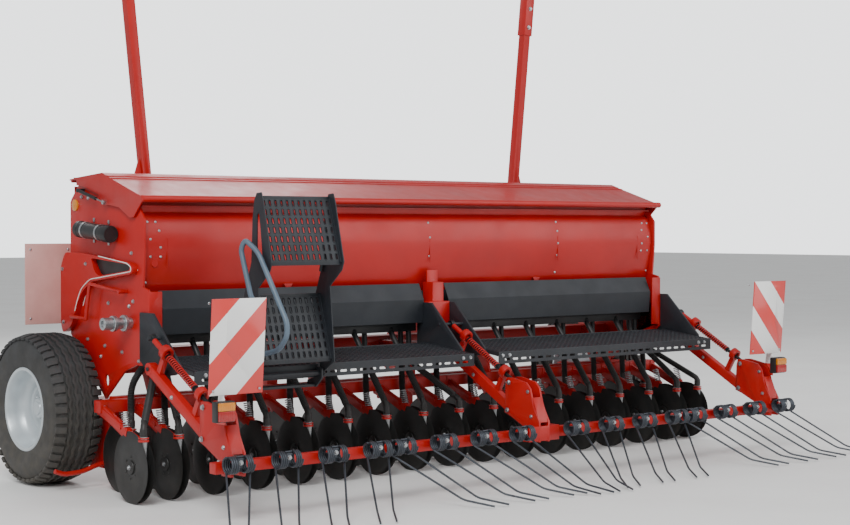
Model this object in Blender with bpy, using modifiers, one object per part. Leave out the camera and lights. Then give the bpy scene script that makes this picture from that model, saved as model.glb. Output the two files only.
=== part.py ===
"""Seed drill: hopper with lid, disc coulters, seed tubes, folding markers, following harrow.

Metres, +Z up, +Y forwards, +X to the machine's right. The ground is z = 0. Lengths along Y are
counted from the seed boots of the rear coulter row, and the whole drill then hangs on one empty
that moves the middle of its length to y = 0.
"""

import math

import bmesh
import bpy
from mathutils import Matrix, Vector

# ---- clearances
TOUCH = 0.0003
PIN_PLAY = 0.0006
PASS = 0.006

# ---- hopper and side plates
PLATE_OUT = 1.800
PLATE_T = 0.012
PLATE_IN = PLATE_OUT - PLATE_T
SHEET = 0.008
HOPPER_REAR = 0.225
HOPPER_FRONT = 0.945
HOPPER_FLOOR = 0.945
HOPPER_FLOOR_REAR, HOPPER_FLOOR_FRONT = 0.45, 0.60
HOPPER_REAR_TOP = 1.405
PLATE_REAR = 0.180
PLATE_TIP = (0.604, 0.442)
FLANGE_WIDE = 0.072

# ---- lid and its gas struts
LID_AXIS = (0.941, 1.530)
LID_SHEET = 0.006
LID_RIDGE = (0.606, 1.560)
LID_LIP = (0.210, 1.430)
LIP_R = 0.016
KNUCKLE_R = 0.010
CHEEK_T = 0.008
CHEEK_IN = PLATE_OUT + 0.007
COVER_T = 0.032
STRUT_PIVOT = (0.815, 1.478)
STRUT_EYE = (0.561, 1.415)
STRUT_X = PLATE_OUT + 0.031
STRUT_R = 0.009
STRUT_ROD_R = 0.004
STRUT_BARREL = 0.185

# ---- main frame
BEAM_REAR, BEAM_FRONT = 0.62, 0.74
BEAM_LOW, BEAM_TOP = 0.56, 0.68
LINK_X = 0.45
LINK_T = 0.05
LINK_FRONT = 1.22
STAND_Y = 1.06
STAND_SIDE = 0.05
SLEEVE_WALL = 0.010
STAND_TOP = 0.75

# ---- wheels
WHEEL_Y = 0.95
TYRE_R = 0.38
TYRE_WIDE = 0.262
TYRE_IN = PLATE_OUT + 0.020
RIM_R = 0.205
AXLE_R = 0.030
ARM_REAR, ARM_FRONT = 0.62, 0.80
ARM_LOW = 0.09
ARM_OUT = PLATE_IN - TOUCH
ARM_IN = ARM_OUT - 0.085

# ---- coulters and seed tubes
ROW_STEP = 0.25
REAR_OUTER = PLATE_OUT + 0.1375
FRONT_OUTER = PLATE_OUT + 0.0125
ROW_SHIFT = 0.33
DISC_R = 0.17
DISC_Y = 0.10
DISC_PAIR = 0.040
COULTER_T = 0.028
RAIL = 0.060
RAIL_LOW = 0.40
REAR_RAIL_Y = 0.40
FRONT_RAIL_Y = 0.53
HANGER_T = 0.014
BOOT_TOP = 0.312
TUBE_R = 0.019
OUTLET_LOW, OUTLET_TOP = 0.740, 0.768
OUTLET_REAR, OUTLET_FRONT = 0.275, 0.400
METER_REAR, METER_FRONT = 0.300, 0.600
METER_END = PLATE_IN - 0.068

# ---- middle support, harrow brackets and platform
MID_HALF = 0.075
MID_NECK = 0.038
BRACKET_T = 0.012
PLATFORM_FRONT = 0.160
PLATFORM_DEEP = 0.380
PLATFORM_REAR = PLATFORM_FRONT - PLATFORM_DEEP
PLATFORM_TOP = 0.632
PLATFORM_EDGE = 0.065
PLATFORM_TILT = 6.5
DECK_T = 0.025

# ---- harrow
LOW_PIVOT = (0.074, 0.628)
LOW_END = (-0.426, 0.350)
LINK_RISE = (-0.011, 0.143)
TOP_PIVOT = (LOW_PIVOT[0] + LINK_RISE[0], LOW_PIVOT[1] + LINK_RISE[1])
TOP_END = (LOW_END[0] + LINK_RISE[0], LOW_END[1] + LINK_RISE[1])
ARM_WIDE = 0.040
ARM_TALL = 0.050
SIDE_ARM_X = PLATE_OUT + TOUCH + BRACKET_T + PASS + ARM_WIDE / 2 + 0.012
PIN_R = 0.009
ROD_R = 0.010
SPRING_R = 0.0165
COLLAR_WALL = 0.014
COLLAR_LONG = 0.036
COLLAR_AT = (0.13, 0.74)
HARROW_LIFT = 14.0
POST_T = 0.012
WEB_T = 0.008
HARROW_Y = -0.620
HARROW_Z = 0.247
HARROW_TUBE = 0.050
HARROW_END = PLATE_OUT + 0.160
TINE_END = PLATE_OUT + 0.077
TINE_INNER = 0.190
TINE_GROUP_GAP = 0.147
COIL_Y = -0.700
COIL_Z = 0.265
COIL_R = 0.040
TINE_GAP = 0.090
TINE_R = 0.005
TINE_TURN = 33.0
TINE_TURN_INNER = 15.0
TINE_LEG = 0.330
TINE_TIP = 0.150
TINE_KNEE_Z = 0.034
TINE_TIP_Z = 0.012

# ---- warning panels and lamps
PANEL_WIDE = 0.282
PANEL_TALL = 0.423
PANEL_T = 0.006
PANEL_X = PLATE_OUT + 0.030
PANEL_LOW = 0.560
PANEL_TILT = 4.5
LAMP_IN = PLATE_OUT + 0.063
LAMP_WIDE = 0.095
LAMP_LOW = 0.445
LAMP_TALL = 0.092

# ---- steps
STEPS_AXIS = (PLATFORM_REAR - 0.020, 0.590)
STEPS_X = -1.300
STEPS_HALF = 0.210
STEP_PLATE_T = 0.008
STEP_TALL = 0.320

# ---- markers
MARKER_X = 1.320
MARKER_Y = 1.010
MARKER_Z = 1.430
MARKER_LEAN = 6.0
MARKER_TUBE = 0.050
MARKER_SLEEVE = 0.064
MARKER_SLEEVE_AT = (1.09, 1.50)
MARKER_LONG = 1.720
MARKER_DISC_R = 0.200
CROSSBAR_LOW, CROSSBAR_TOP = 1.390, 1.470
CROSSBAR_T = 0.030

# The middle of the length, between the tine tips and the front of the tyres.
REACH = (TINE_LEG + TINE_TIP) * math.cos(math.radians(TINE_TURN_INNER))
REAR_END = COIL_Y - REACH - 0.28 * TINE_R
MIDDLE_Y = (WHEEL_Y + TYRE_R + REAR_END) / 2

RED = ("red_paint", (0.745, 0.032, 0.020), 0.35, 0.0)
DARK = ("anthracite_paint", (0.022, 0.027, 0.034), 0.45, 0.0)
RUBBER = ("tyre_rubber", (0.040, 0.042, 0.044), 0.80, 0.0)
RIM = ("silver_rim_paint", (0.62, 0.67, 0.70), 0.35, 0.3)
STEEL = ("zinc_plated_steel", (0.55, 0.56, 0.57), 0.35, 0.9)
BLACK = ("black_plastic", (0.012, 0.013, 0.015), 0.40, 0.0)
PANEL = ("reflective_panel", (0.85, 0.80, 0.78), 0.40, 0.0)
LAMP = ("amber_lamp", (0.80, 0.28, 0.02), 0.20, 0.0)


# ---------------------------------------------------------------- scene and helpers
def clear_scene():
    for item in list(bpy.data.objects):
        bpy.data.objects.remove(item)


def make_collection(name):
    collection = bpy.data.collections.new(name)
    bpy.context.scene.collection.children.link(collection)
    return collection


clear_scene()
DRILL = make_collection("seed_drill")
HELPERS = make_collection("helpers")
HELPERS.hide_render = True


def material(finish):
    name, colour, roughness, metallic = finish
    found = bpy.data.materials.get(name)
    if found:
        return found
    made = bpy.data.materials.new(name)
    made.use_nodes = True
    shader = made.node_tree.nodes["Principled BSDF"]
    shader.inputs["Base Color"].default_value = (*colour, 1.0)
    shader.inputs["Roughness"].default_value = roughness
    shader.inputs["Metallic"].default_value = metallic
    return made


def helper(mesh):
    piece = bpy.data.objects.new("helper", mesh)
    piece.hide_render = True
    piece.display_type = "WIRE"
    HELPERS.objects.link(piece)
    return piece


def from_bmesh(shape):
    mesh = bpy.data.meshes.new("helper")
    shape.to_mesh(mesh)
    shape.free()
    return helper(mesh)


def box(low, high):
    """A box between two corners."""
    low, high = Vector(low), Vector(high)
    shape = bmesh.new()
    place = Matrix.Translation((low + high) / 2) @ Matrix.Diagonal((*(high - low), 1.0))
    bmesh.ops.create_cube(shape, size=1.0, matrix=place)
    return from_bmesh(shape)


def along(start, end):
    """The matrix that turns +Z to the line from start to end and centres it there."""
    line = Vector(end) - Vector(start)
    turn = Vector((0, 0, 1)).rotation_difference(line).to_matrix().to_4x4()
    return Matrix.Translation((Vector(start) + Vector(end)) / 2) @ turn, line.length


def rod(start, end, radius, sides=12, end_radius=None):
    """A round bar or a cone between two points."""
    place, length = along(start, end)
    shape = bmesh.new()
    bmesh.ops.create_cone(
        shape,
        cap_ends=True,
        segments=sides,
        radius1=radius,
        radius2=radius if end_radius is None else end_radius,
        depth=length,
        matrix=place,
    )
    return from_bmesh(shape)


def bent_rod(points, radius, sides=6):
    """A round bar along a line of points, mitred at each bend."""
    points = [Vector(point) for point in points]
    lines = [(end - start).normalized() for start, end in zip(points, points[1:])]
    side = lines[0].orthogonal().normalized()
    other = lines[0].cross(side)
    steps = [2 * math.pi * k / sides for k in range(sides)]
    ring = [points[0] + radius * (math.cos(a) * side + math.sin(a) * other) for a in steps]
    shape = bmesh.new()
    rings = [[shape.verts.new(point) for point in ring]]
    for k, ahead in enumerate(lines):
        normal = ahead + (lines[k + 1] if k + 1 < len(lines) else ahead)
        reach = normal.dot(ahead)
        ring = [point + ahead * (normal.dot(points[k + 1] - point) / reach) for point in ring]
        rings.append([shape.verts.new(point) for point in ring])
    for first, second in zip(rings, rings[1:]):
        for k in range(sides):
            near, far = k, (k + 1) % sides
            shape.faces.new((first[near], first[far], second[far], second[near]))
    shape.faces.new(rings[0])
    shape.faces.new(rings[-1])
    bmesh.ops.recalc_face_normals(shape, faces=shape.faces)
    return from_bmesh(shape)


def bar(start, end, wide, tall):
    """A rectangular bar between two points of one vertical plane, wide across that plane."""
    line = Vector(end) - Vector(start)
    ahead = line.normalized()
    side = Vector((1, 0, 0)) if abs(ahead.x) < 0.5 else Vector((0, 1, 0))
    above = ahead.cross(side).normalized()
    side = above.cross(ahead)
    turn = Matrix((side, above, ahead)).transposed().to_4x4()
    place = Matrix.Translation((Vector(start) + Vector(end)) / 2) @ turn
    shape = bmesh.new()
    size = Matrix.Diagonal((wide, tall, line.length, 1.0))
    bmesh.ops.create_cube(shape, size=1.0, matrix=place @ size)
    return from_bmesh(shape)


def solid_of(piece):
    """The evaluated mesh of an object as a new helper, in place, with its seams welded."""
    graph = bpy.context.evaluated_depsgraph_get()
    mesh = bpy.data.meshes.new_from_object(piece.evaluated_get(graph))
    mesh.transform(piece.matrix_world)
    shape = bmesh.new()
    shape.from_mesh(mesh)
    bmesh.ops.remove_doubles(shape, verts=shape.verts, dist=1e-6)
    bmesh.ops.recalc_face_normals(shape, faces=shape.faces)
    shape.to_mesh(mesh)
    shape.free()
    bpy.data.objects.remove(piece)
    return helper(mesh)


def plate(outline, low, high, holes=(), across="X"):
    """A flat outline made thick from low to high along X (points are y, z) or along Y (x, z)."""
    curve = bpy.data.curves.new("outline", "CURVE")
    curve.dimensions = "2D"
    curve.fill_mode = "BOTH"
    curve.extrude = (high - low) / 2
    for points in (outline, *holes):
        line = curve.splines.new("POLY")
        line.points.add(len(points) - 1)
        for place, (first, second) in zip(line.points, points):
            place.co = (first, second, 0.0, 1.0)
        line.use_cyclic_u = True
    piece = bpy.data.objects.new("outline", curve)
    HELPERS.objects.link(piece)
    middle = (low + high) / 2
    if across == "X":
        columns = (Vector((0, 1, 0)), Vector((0, 0, 1)), Vector((1, 0, 0)))
        origin = Vector((middle, 0, 0))
    else:
        columns = (Vector((1, 0, 0)), Vector((0, 0, 1)), Vector((0, -1, 0)))
        origin = Vector((0, middle, 0))
    piece.matrix_world = Matrix.Translation(origin) @ Matrix(columns).transposed().to_4x4()
    bpy.context.view_layer.update()
    return solid_of(piece)


def turned(profile, steps, centre, axis=(1, 0, 0)):
    """A closed profile of (radius, distance along the axis) turned about an axis."""
    shape = bmesh.new()
    corners = [shape.verts.new((radius, 0.0, height)) for radius, height in profile]
    for first, second in zip(corners, corners[1:] + corners[:1]):
        shape.edges.new((first, second))
    piece = from_bmesh(shape)
    screw = piece.modifiers.new("turn", "SCREW")
    screw.axis = "Z"
    screw.steps = steps
    screw.render_steps = steps
    screw.use_merge_vertices = True
    screw.merge_threshold = 0.00001
    turn = Vector((0, 0, 1)).rotation_difference(Vector(axis)).to_matrix().to_4x4()
    piece.matrix_world = Matrix.Translation(Vector(centre)) @ turn
    bpy.context.view_layer.update()
    return solid_of(piece)


def boolean(base, others, operation):
    """One Boolean of a solid with a group of others, which are used up."""
    group = bpy.data.collections.new("operands")
    HELPERS.children.link(group)
    for other in others:
        group.objects.link(other)
    step = base.modifiers.new("step", "BOOLEAN")
    step.operation = operation
    step.operand_type = "COLLECTION"
    step.collection = group
    step.solver = "EXACT"
    bpy.context.view_layer.update()
    result = solid_of(base)
    for other in others:
        bpy.data.objects.remove(other)
    bpy.data.collections.remove(group)
    return result


def join(*pieces):
    return boolean(pieces[0], pieces[1:], "UNION")


def cut(base, *cutters):
    return boolean(base, cutters, "DIFFERENCE")


def mirrored(piece, side):
    """The piece itself on the left (-1) or right (+1), when it was made for the right."""
    if side < 0:
        piece.data.transform(Matrix.Diagonal((-1, 1, 1, 1)))
        piece.data.flip_normals()
    return piece


def body(name, centre, parent=None):
    """An empty on the axis of a moving body."""
    empty = bpy.data.objects.new(name, None)
    DRILL.objects.link(empty)
    empty.parent = parent
    at = Vector(centre)
    if parent:
        empty["centre"] = at
        empty.location = at - Vector(parent["centre"])
    else:
        empty["centre"] = Vector((0, 0, 0))
        empty.location = at
    return empty


def finish(name, piece, paint, owner):
    """Turns a helper into a named part of a body, with its origin on the body's axis."""
    mesh = piece.data
    mesh.transform(Matrix.Translation(-Vector(owner["centre"])))
    mesh.name = name
    mesh.materials.clear()
    mesh.materials.append(material(paint))
    bpy.data.objects.remove(piece)
    part = bpy.data.objects.new(name, mesh)
    part.parent = owner
    DRILL.objects.link(part)
    return part


def side_name(side):
    return "left" if side < 0 else "right"


def circle(centre, radius, count):
    """Points on a circle in the outline's own plane."""
    steps = [2 * math.pi * k / count for k in range(count)]
    return [(centre[0] + radius * math.cos(a), centre[1] + radius * math.sin(a)) for a in steps]


def at_x(x, point):
    return (x, point[0], point[1])


# ---------------------------------------------------------------- hopper, plates, lid
def side_plate(side, root):
    low_rear = (0.413, PLATE_TIP[1] + 0.151)
    outline = [
        (PLATE_REAR, 0.879),
        (PLATE_REAR, 0.687),
        (0.249, 0.628),
        (0.302, 0.628),
        low_rear,
        PLATE_TIP,
        (HOPPER_FRONT + 0.015, 0.748),
        (HOPPER_FRONT + 0.015, 1.420),
        (HOPPER_FRONT + 0.003, 1.437),
        (HOPPER_FRONT - 0.078, 1.512),
        (0.600, 1.522),
        (HOPPER_REAR + 0.060, HOPPER_REAR_TOP),
        (HOPPER_REAR, 1.330),
        (HOPPER_REAR, 1.180),
        (HOPPER_REAR + 0.015, 1.005),
        (PLATE_REAR + 0.010, 0.994),
    ]
    eye = [(y, 0.535 + 1.6 * (z - 0.535)) for y, z in circle((0.590, 0.535), 0.020, 10)]
    sheet = plate(outline, PLATE_IN, PLATE_OUT, holes=(eye,))
    flange = box(
        (PLATE_OUT - FLANGE_WIDE, PLATE_REAR + 0.001, 0.700),
        (PLATE_OUT - 0.001, PLATE_REAR + 0.011, 0.985),
    )
    finish(f"side_plate_{side_name(side)}", mirrored(join(sheet, flange), side), RED, root)


def hopper(root):
    outer = [
        (HOPPER_REAR + 0.060, HOPPER_REAR_TOP),
        (HOPPER_REAR, 1.330),
        (HOPPER_REAR, 1.180),
        (HOPPER_REAR + 0.015, 1.005),
        (HOPPER_FLOOR_REAR, HOPPER_FLOOR),
        (HOPPER_FLOOR_FRONT, HOPPER_FLOOR),
        (HOPPER_FRONT, 1.150),
        (HOPPER_FRONT, LID_AXIS[1] - KNUCKLE_R - PIN_PLAY),
    ]
    inner = [
        (HOPPER_FRONT - SHEET, LID_AXIS[1] - KNUCKLE_R - PIN_PLAY),
        (HOPPER_FRONT - SHEET, 1.155),
        (HOPPER_FLOOR_FRONT - 0.002, HOPPER_FLOOR + SHEET),
        (HOPPER_FLOOR_REAR + 0.002, HOPPER_FLOOR + SHEET),
        (HOPPER_REAR + 0.015 + SHEET, 1.011),
        (HOPPER_REAR + SHEET, 1.180),
        (HOPPER_REAR + SHEET, 1.327),
        (HOPPER_REAR + 0.060 + SHEET, HOPPER_REAR_TOP - 0.002),
    ]
    end = PLATE_IN - TOUCH
    finish("hopper_shell", plate(outer + inner, -end, end), RED, root)
    housing = box(
        (-METER_END, METER_REAR, 0.772), (METER_END, METER_FRONT, HOPPER_FLOOR - TOUCH)
    )
    finish("metering_housing", housing, BLACK, root)


def metering_cover(side, root):
    """A bent sheet behind the metering units."""
    sheet = 0.004
    crease, low = (0.190, 0.900), (0.200, 0.775)
    outer = [(0.232, 0.988), crease, low, (METER_REAR - TOUCH, low[1])]
    inner = [
        (METER_REAR - TOUCH, low[1] + sheet),
        (low[0] + sheet, low[1] + sheet),
        (crease[0] + sheet, crease[1]),
        (0.232 + sheet, 0.986),
    ]
    start = MID_HALF + TOUCH + BRACKET_T + TOUCH
    cover = plate(outer + inner, start, METER_END)
    finish(f"metering_cover_{side_name(side)}", mirrored(cover, side), DARK, root)


def lid(owner):
    """Sheet with a ridge, a rolled rear lip and a cheek at each end, open underneath."""
    half = PLATE_OUT + 0.002
    skin = [
        (LID_LIP[0], LID_LIP[1] + 0.006),
        LID_RIDGE,
        (LID_AXIS[0], LID_AXIS[1] + 0.007),
        (LID_AXIS[0], LID_AXIS[1] + 0.007 - LID_SHEET),
        (LID_RIDGE[0], LID_RIDGE[1] - LID_SHEET),
        (LID_LIP[0] + 0.004, LID_LIP[1]),
    ]
    cheek_out = CHEEK_IN + CHEEK_T
    sheet = plate(skin, -cheek_out + 0.001, cheek_out - 0.001)
    lip = rod((-cheek_out - 0.007, *LID_LIP), (cheek_out + 0.007, *LID_LIP), LIP_R, 10)
    knuckle = rod((-half, *LID_AXIS), (half, *LID_AXIS), KNUCKLE_R, 12)
    ends = []
    for side in (-1, 1):
        cheek = [
            (LID_LIP[0] + 0.008, LID_LIP[1] - 0.012),
            (0.300, 1.342),
            (0.338, 1.339),
            (0.440, 1.390),
            (0.535, 1.402),
            (0.590, 1.404),
            (0.640, 1.455),
            (0.800, 1.498),
            (0.868, 1.506),
            (0.868, LID_RIDGE[1] - 0.024),
            (LID_RIDGE[0], LID_RIDGE[1] - 0.001),
            (LID_LIP[0] + 0.002, LID_LIP[1] + 0.004),
        ]
        ends.append(mirrored(plate(cheek, CHEEK_IN, cheek_out), side))
    finish("hopper_lid", join(sheet, lip, knuckle, *ends), RED, owner)


def lid_strut(side, barrels, rods):
    """Gas strut: a hollow barrel on a pin of the plate, and a rod whose eye lies at the lid."""
    foot, eye = Vector((STRUT_X, *STRUT_PIVOT)), Vector((STRUT_X, *STRUT_EYE))
    ahead = (eye - foot).normalized()
    tube = rod(foot, foot + ahead * STRUT_BARREL, STRUT_R, 12)
    hub = rod(
        at_x(PLATE_OUT + TOUCH, STRUT_PIVOT), at_x(STRUT_X + 0.010, STRUT_PIVOT), 0.010, 10
    )
    bore = rod(foot + ahead * 0.030, foot + ahead * (STRUT_BARREL + 0.02), 0.0046, 12)
    barrel = cut(join(tube, hub), bore)
    finish(f"lid_strut_barrel_{side_name(side)}", mirrored(barrel, side), BLACK, barrels)
    stem = rod(foot + ahead * 0.045, eye, STRUT_ROD_R, 12)
    end = rod(at_x(STRUT_X - 0.007, STRUT_EYE), at_x(STRUT_X + 0.007, STRUT_EYE), 0.011, 10)
    finish(f"lid_strut_rod_{side_name(side)}", mirrored(join(stem, end), side), STEEL, rods)


# ---------------------------------------------------------------- frame and headstock
def main_beam(root):
    end = PLATE_IN - TOUCH
    beam = box((-end, BEAM_REAR, BEAM_LOW), (end, BEAM_FRONT, BEAM_TOP))
    finish("main_beam", beam, RED, root)


def headstock_side(side, root):
    """Plate from the beam to the lower link, with the sleeve of the parking stand."""
    start = BEAM_FRONT + TOUCH
    outline = [
        (start, BEAM_LOW - 0.040),
        (LINK_FRONT - 0.060, 0.430),
        (LINK_FRONT, 0.470),
        (LINK_FRONT, 0.560),
        (LINK_FRONT - 0.100, 0.700),
        (LINK_FRONT - 0.100, 1.140),
        (LINK_FRONT - 0.200, 1.140),
        (LINK_FRONT - 0.220, 0.780),
        (start, BEAM_TOP + 0.020),
    ]
    low, high = LINK_X - LINK_T / 2, LINK_X + LINK_T / 2
    leg = STAND_SIDE / 2 + PIN_PLAY
    outer = leg + SLEEVE_WALL
    middle = high + outer - 0.004
    pin_y, pin_z = LINK_FRONT - 0.045, 0.505
    web = plate(outline, low, high)
    pin = rod((low - 0.055, pin_y, pin_z), (low + 0.01, pin_y, pin_z), 0.018, 12)
    sleeve = box(
        (middle - outer, STAND_Y - outer, 0.400), (middle + outer, STAND_Y + outer, 0.640)
    )
    bore = box((middle - leg, STAND_Y - leg, 0.380), (middle + leg, STAND_Y + leg, 0.900))
    piece = cut(join(web, pin, sleeve), bore)
    finish(f"headstock_{side_name(side)}", mirrored(piece, side), RED, root)
    return middle


def top_link_bracket(root):
    """Cross tube between the headstock plates with two ears and a pin for the upper link."""
    end = LINK_X - LINK_T / 2 - TOUCH
    low, high = LINK_FRONT - 0.185, LINK_FRONT - 0.115
    tube = box((-end, low, 1.050), (end, high, 1.120))
    ears = []
    for side in (-1, 1):
        ear = [
            (high - 0.02, 1.060),
            (LINK_FRONT - 0.030, 1.070),
            (LINK_FRONT - 0.030, 1.150),
            (high - 0.02, 1.170),
        ]
        ears.append(mirrored(plate(ear, 0.040, 0.052), side))
    pin_y, pin_z = LINK_FRONT - 0.055, 1.112
    pin = rod((-0.070, pin_y, pin_z), (0.070, pin_y, pin_z), 0.0125, 12)
    finish("top_link_bracket", join(tube, *ears, pin), RED, root)


def front_stand(side, middle, owner):
    half = STAND_SIDE / 2
    leg = box((middle - half, STAND_Y - half, 0.004), (middle + half, STAND_Y + half, STAND_TOP))
    foot = box((middle - 0.07, STAND_Y - 0.07, 0.0), (middle + 0.07, STAND_Y + 0.07, 0.010))
    finish(f"front_stand_{side_name(side)}", mirrored(join(leg, foot), side), STEEL, owner)


# ---------------------------------------------------------------- wheels
def wheel_arm(side, root):
    """Box at the plate's tip, stub axle, scraper bar and the spring that loads the arm."""
    post = box((ARM_IN, ARM_REAR, ARM_LOW), (ARM_OUT, ARM_FRONT, BEAM_LOW - TOUCH))
    lever = box(
        (ARM_IN + 0.012, ARM_FRONT - 0.06, TYRE_R - 0.040),
        (ARM_OUT - 0.008, WHEEL_Y + 0.045, TYRE_R + 0.040),
    )
    axle = rod((ARM_IN + 0.03, WHEEL_Y, TYRE_R), (TYRE_IN + 0.150, WHEEL_Y, TYRE_R), AXLE_R, 16)
    middle = (ARM_IN + ARM_OUT) / 2
    scraper = rod((middle, 0.640, 0.125), (TYRE_IN + 0.200, 0.640, 0.105), 0.012, 8)
    spring = rod((middle, 0.585, 0.262), (middle, 0.585, 0.408), 0.020, 10)
    lugs = [
        box((middle - 0.02, 0.562, z), (middle + 0.02, ARM_REAR + 0.01, z + 0.014))
        for z in (0.255, 0.401)
    ]
    piece = join(post, lever, axle, scraper, spring, *lugs)
    finish(f"wheel_arm_{side_name(side)}", mirrored(piece, side), RED, root)


def wheel(side, owner):
    """Tyre and rim, turned about X. Distances run outwards from the tyre's inner face."""
    centre = (TYRE_IN, WHEEL_Y, TYRE_R)
    wide = TYRE_WIDE
    tyre = [
        (RIM_R + TOUCH, 0.030),
        (RIM_R + 0.020, 0.008),
        (0.290, 0.0),
        (0.350, 0.018),
        (0.374, 0.048),
        (TYRE_R, wide / 2),
        (0.374, wide - 0.048),
        (0.350, wide - 0.018),
        (0.290, wide),
        (RIM_R + 0.020, wide - 0.008),
        (RIM_R + TOUCH, wide - 0.030),
    ]
    piece = turned(tyre, 24, centre)
    finish(f"tyre_{side_name(side)}", mirrored(piece, side), RUBBER, owner)
    hub = AXLE_R + PIN_PLAY
    rim = [
        (RIM_R, wide - 0.026),
        (RIM_R - 0.020, wide - 0.028),
        (0.165, 0.130),
        (0.055, 0.108),
        (0.050, 0.150),
        (hub, 0.150),
        (hub, 0.050),
        (0.050, 0.050),
        (0.055, 0.090),
        (0.170, 0.108),
        (RIM_R - 0.016, 0.026),
        (RIM_R, 0.026),
    ]
    piece = turned(rim, 24, centre)
    finish(f"rim_{side_name(side)}", mirrored(piece, side), RIM, owner)


# ---------------------------------------------------------------- fittings on the plates
def drive_cover(root):
    """Raised cover over the drive on the left plate, with its long pointed wing to the rear."""
    outline = [
        (0.985, 0.752),
        (1.006, 0.800),
        (1.006, 1.090),
        (0.960, 1.165),
        (0.800, 1.165),
        (0.320, 1.125),
        (0.285, 1.105),
        (0.285, 1.070),
        (0.690, 1.022),
        (0.780, 0.970),
        (0.840, 0.900),
        (0.865, 0.845),
        (0.900, 0.790),
    ]
    cover = plate(outline, PLATE_OUT + TOUCH, PLATE_OUT + TOUCH + COVER_T)
    finish("drive_cover_left", mirrored(cover, -1), RED, root)


def document_tube(root):
    radius = 0.043
    x = -(PLATE_OUT + radius + TOUCH)
    finish("document_tube", rod((x, 0.785, 1.284), (x, 0.465, 1.258), radius, 16), BLACK, root)


def drive_hub(root):
    """Turned coupling for the calibration crank, standing out of the left plate."""
    y, z = 0.351, 0.830
    steps = [(0.026, 0.030), (0.040, 0.016), (0.028, 0.040), (0.038, 0.020), (0.030, 0.050)]
    pieces = []
    reach = PLATE_OUT + TOUCH
    for radius, length in steps:
        pieces.append(rod((-reach, y, z), (-(reach + length + 0.001), y, z), radius, 12))
        reach += length
    finish("drive_hub", join(*pieces), STEEL, root)


def crank_handle(root):
    """Cranked bar on a peg of the left plate, with its grip turned forwards over the cover."""
    radius = 0.009
    x = -(PLATE_OUT + COVER_T + radius + 2 * TOUCH)
    path = [(0.388, 0.981), (0.685, 1.012), (0.727, 0.836), (0.884, 0.842)]
    bars = [rod(at_x(-(PLATE_OUT + TOUCH), path[0]), at_x(x - radius, path[0]), 0.010, 8)]
    bars.append(bent_rod([at_x(x, point) for point in path], radius, 8))
    finish("crank_handle", join(*bars), RED, root)


def guard_panel(side, root):
    """Sheet across the front of the wheel, on the drive cover or on a lug of the plate."""
    rear = 1.006 + TOUCH
    sheet = box(
        (PLATE_OUT - 0.040, rear, 0.800), (PLATE_OUT + 0.230, rear + 0.004, 1.210)
    )
    if side > 0:
        lug = box(
            (PLATE_OUT + TOUCH, HOPPER_FRONT - 0.045, 0.940),
            (PLATE_OUT + 0.006, rear + 0.002, 1.060),
        )
        sheet = join(sheet, lug)
    finish(f"guard_panel_{side_name(side)}", mirrored(sheet, side), STEEL, root)


# ---------------------------------------------------------------- coulters and seed tubes
def row_places(rear):
    """X of each coulter in a row, from left to right."""
    inner = PLATE_OUT - 0.045
    if rear:
        count = int(inner / ROW_STEP + 1e-6)
        half = [ROW_STEP * k for k in range(1, count + 1)] + [REAR_OUTER]
        return [-x for x in reversed(half)] + [0.0] + half
    count = int((inner - ROW_STEP / 2) / ROW_STEP + 1e-6)
    half = [ROW_STEP * (k + 0.5) for k in range(count + 1)] + [FRONT_OUTER]
    return [-x for x in reversed(half)] + half


def coulter(x, row_y, rail_y):
    """One arm with its pair of discs as one thick disc, and the seed boot behind them."""
    arm = [
        (rail_y + RAIL / 2 - 0.004, RAIL_LOW + 0.010),
        (rail_y - RAIL / 2 + 0.004, RAIL_LOW + 0.040),
        (row_y + 0.110, 0.335),
        (row_y + 0.010, BOOT_TOP),
        (row_y - 0.008, BOOT_TOP),
        (row_y + 0.010, 0.235),
        (row_y + DISC_Y - 0.030, DISC_R - 0.030),
        (row_y + DISC_Y + 0.030, DISC_R - 0.030),
        (rail_y - RAIL / 2 + 0.010, RAIL_LOW - 0.010),
        (rail_y + RAIL / 2 - 0.010, RAIL_LOW - 0.010),
    ]
    pieces = [plate(arm, x - COULTER_T / 2, x + COULTER_T / 2)]
    hub = Vector((x, row_y + DISC_Y, DISC_R))
    reach = Vector((DISC_PAIR / 2, 0, 0))
    pieces.append(rod(hub - reach, hub + reach, DISC_R, 12))
    pieces.append(rod((x, row_y, BOOT_TOP + 0.012), (x, row_y, 0.110), 0.021, 6, 0.013))
    return pieces


def coulter_row(name, rear, root):
    row_y = 0.0 if rear else ROW_SHIFT
    rail_y = REAR_RAIL_Y if rear else FRONT_RAIL_Y
    places = row_places(rear)
    end = places[-1] + 0.022 if rear else PLATE_OUT + 0.004
    rail = box(
        (-end, rail_y - RAIL / 2, RAIL_LOW), (end, rail_y + RAIL / 2, RAIL_LOW + RAIL)
    )
    pieces = [rail]
    for x in places:
        pieces += coulter(x, row_y, rail_y)
    hanger = [
        (rail_y - RAIL / 2 + 0.003, RAIL_LOW + RAIL - 0.010),
        (FRONT_RAIL_Y if rear else rail_y + RAIL / 2 - 0.003, RAIL_LOW + RAIL + 0.006),
        (BEAM_REAR - TOUCH, BEAM_LOW + 0.012),
        (BEAM_REAR - TOUCH, BEAM_TOP - 0.012),
        (rail_y - 0.010, BEAM_LOW),
    ]
    if not rear:
        hanger[1] = (rail_y + RAIL / 2 - 0.003, RAIL_LOW + RAIL - 0.010)
    first = ROW_STEP / 4 + (0.0 if rear else 0.020)
    last = int((PLATE_OUT - 0.15) / ROW_STEP)
    for spot in (first + ROW_STEP * last, first + ROW_STEP * (last // 3)):
        for side in (-1, 1):
            x = side * spot
            pieces.append(plate(hanger, x - HANGER_T / 2, x + HANGER_T / 2))
    finish(name, join(*pieces), RED, root)


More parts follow.
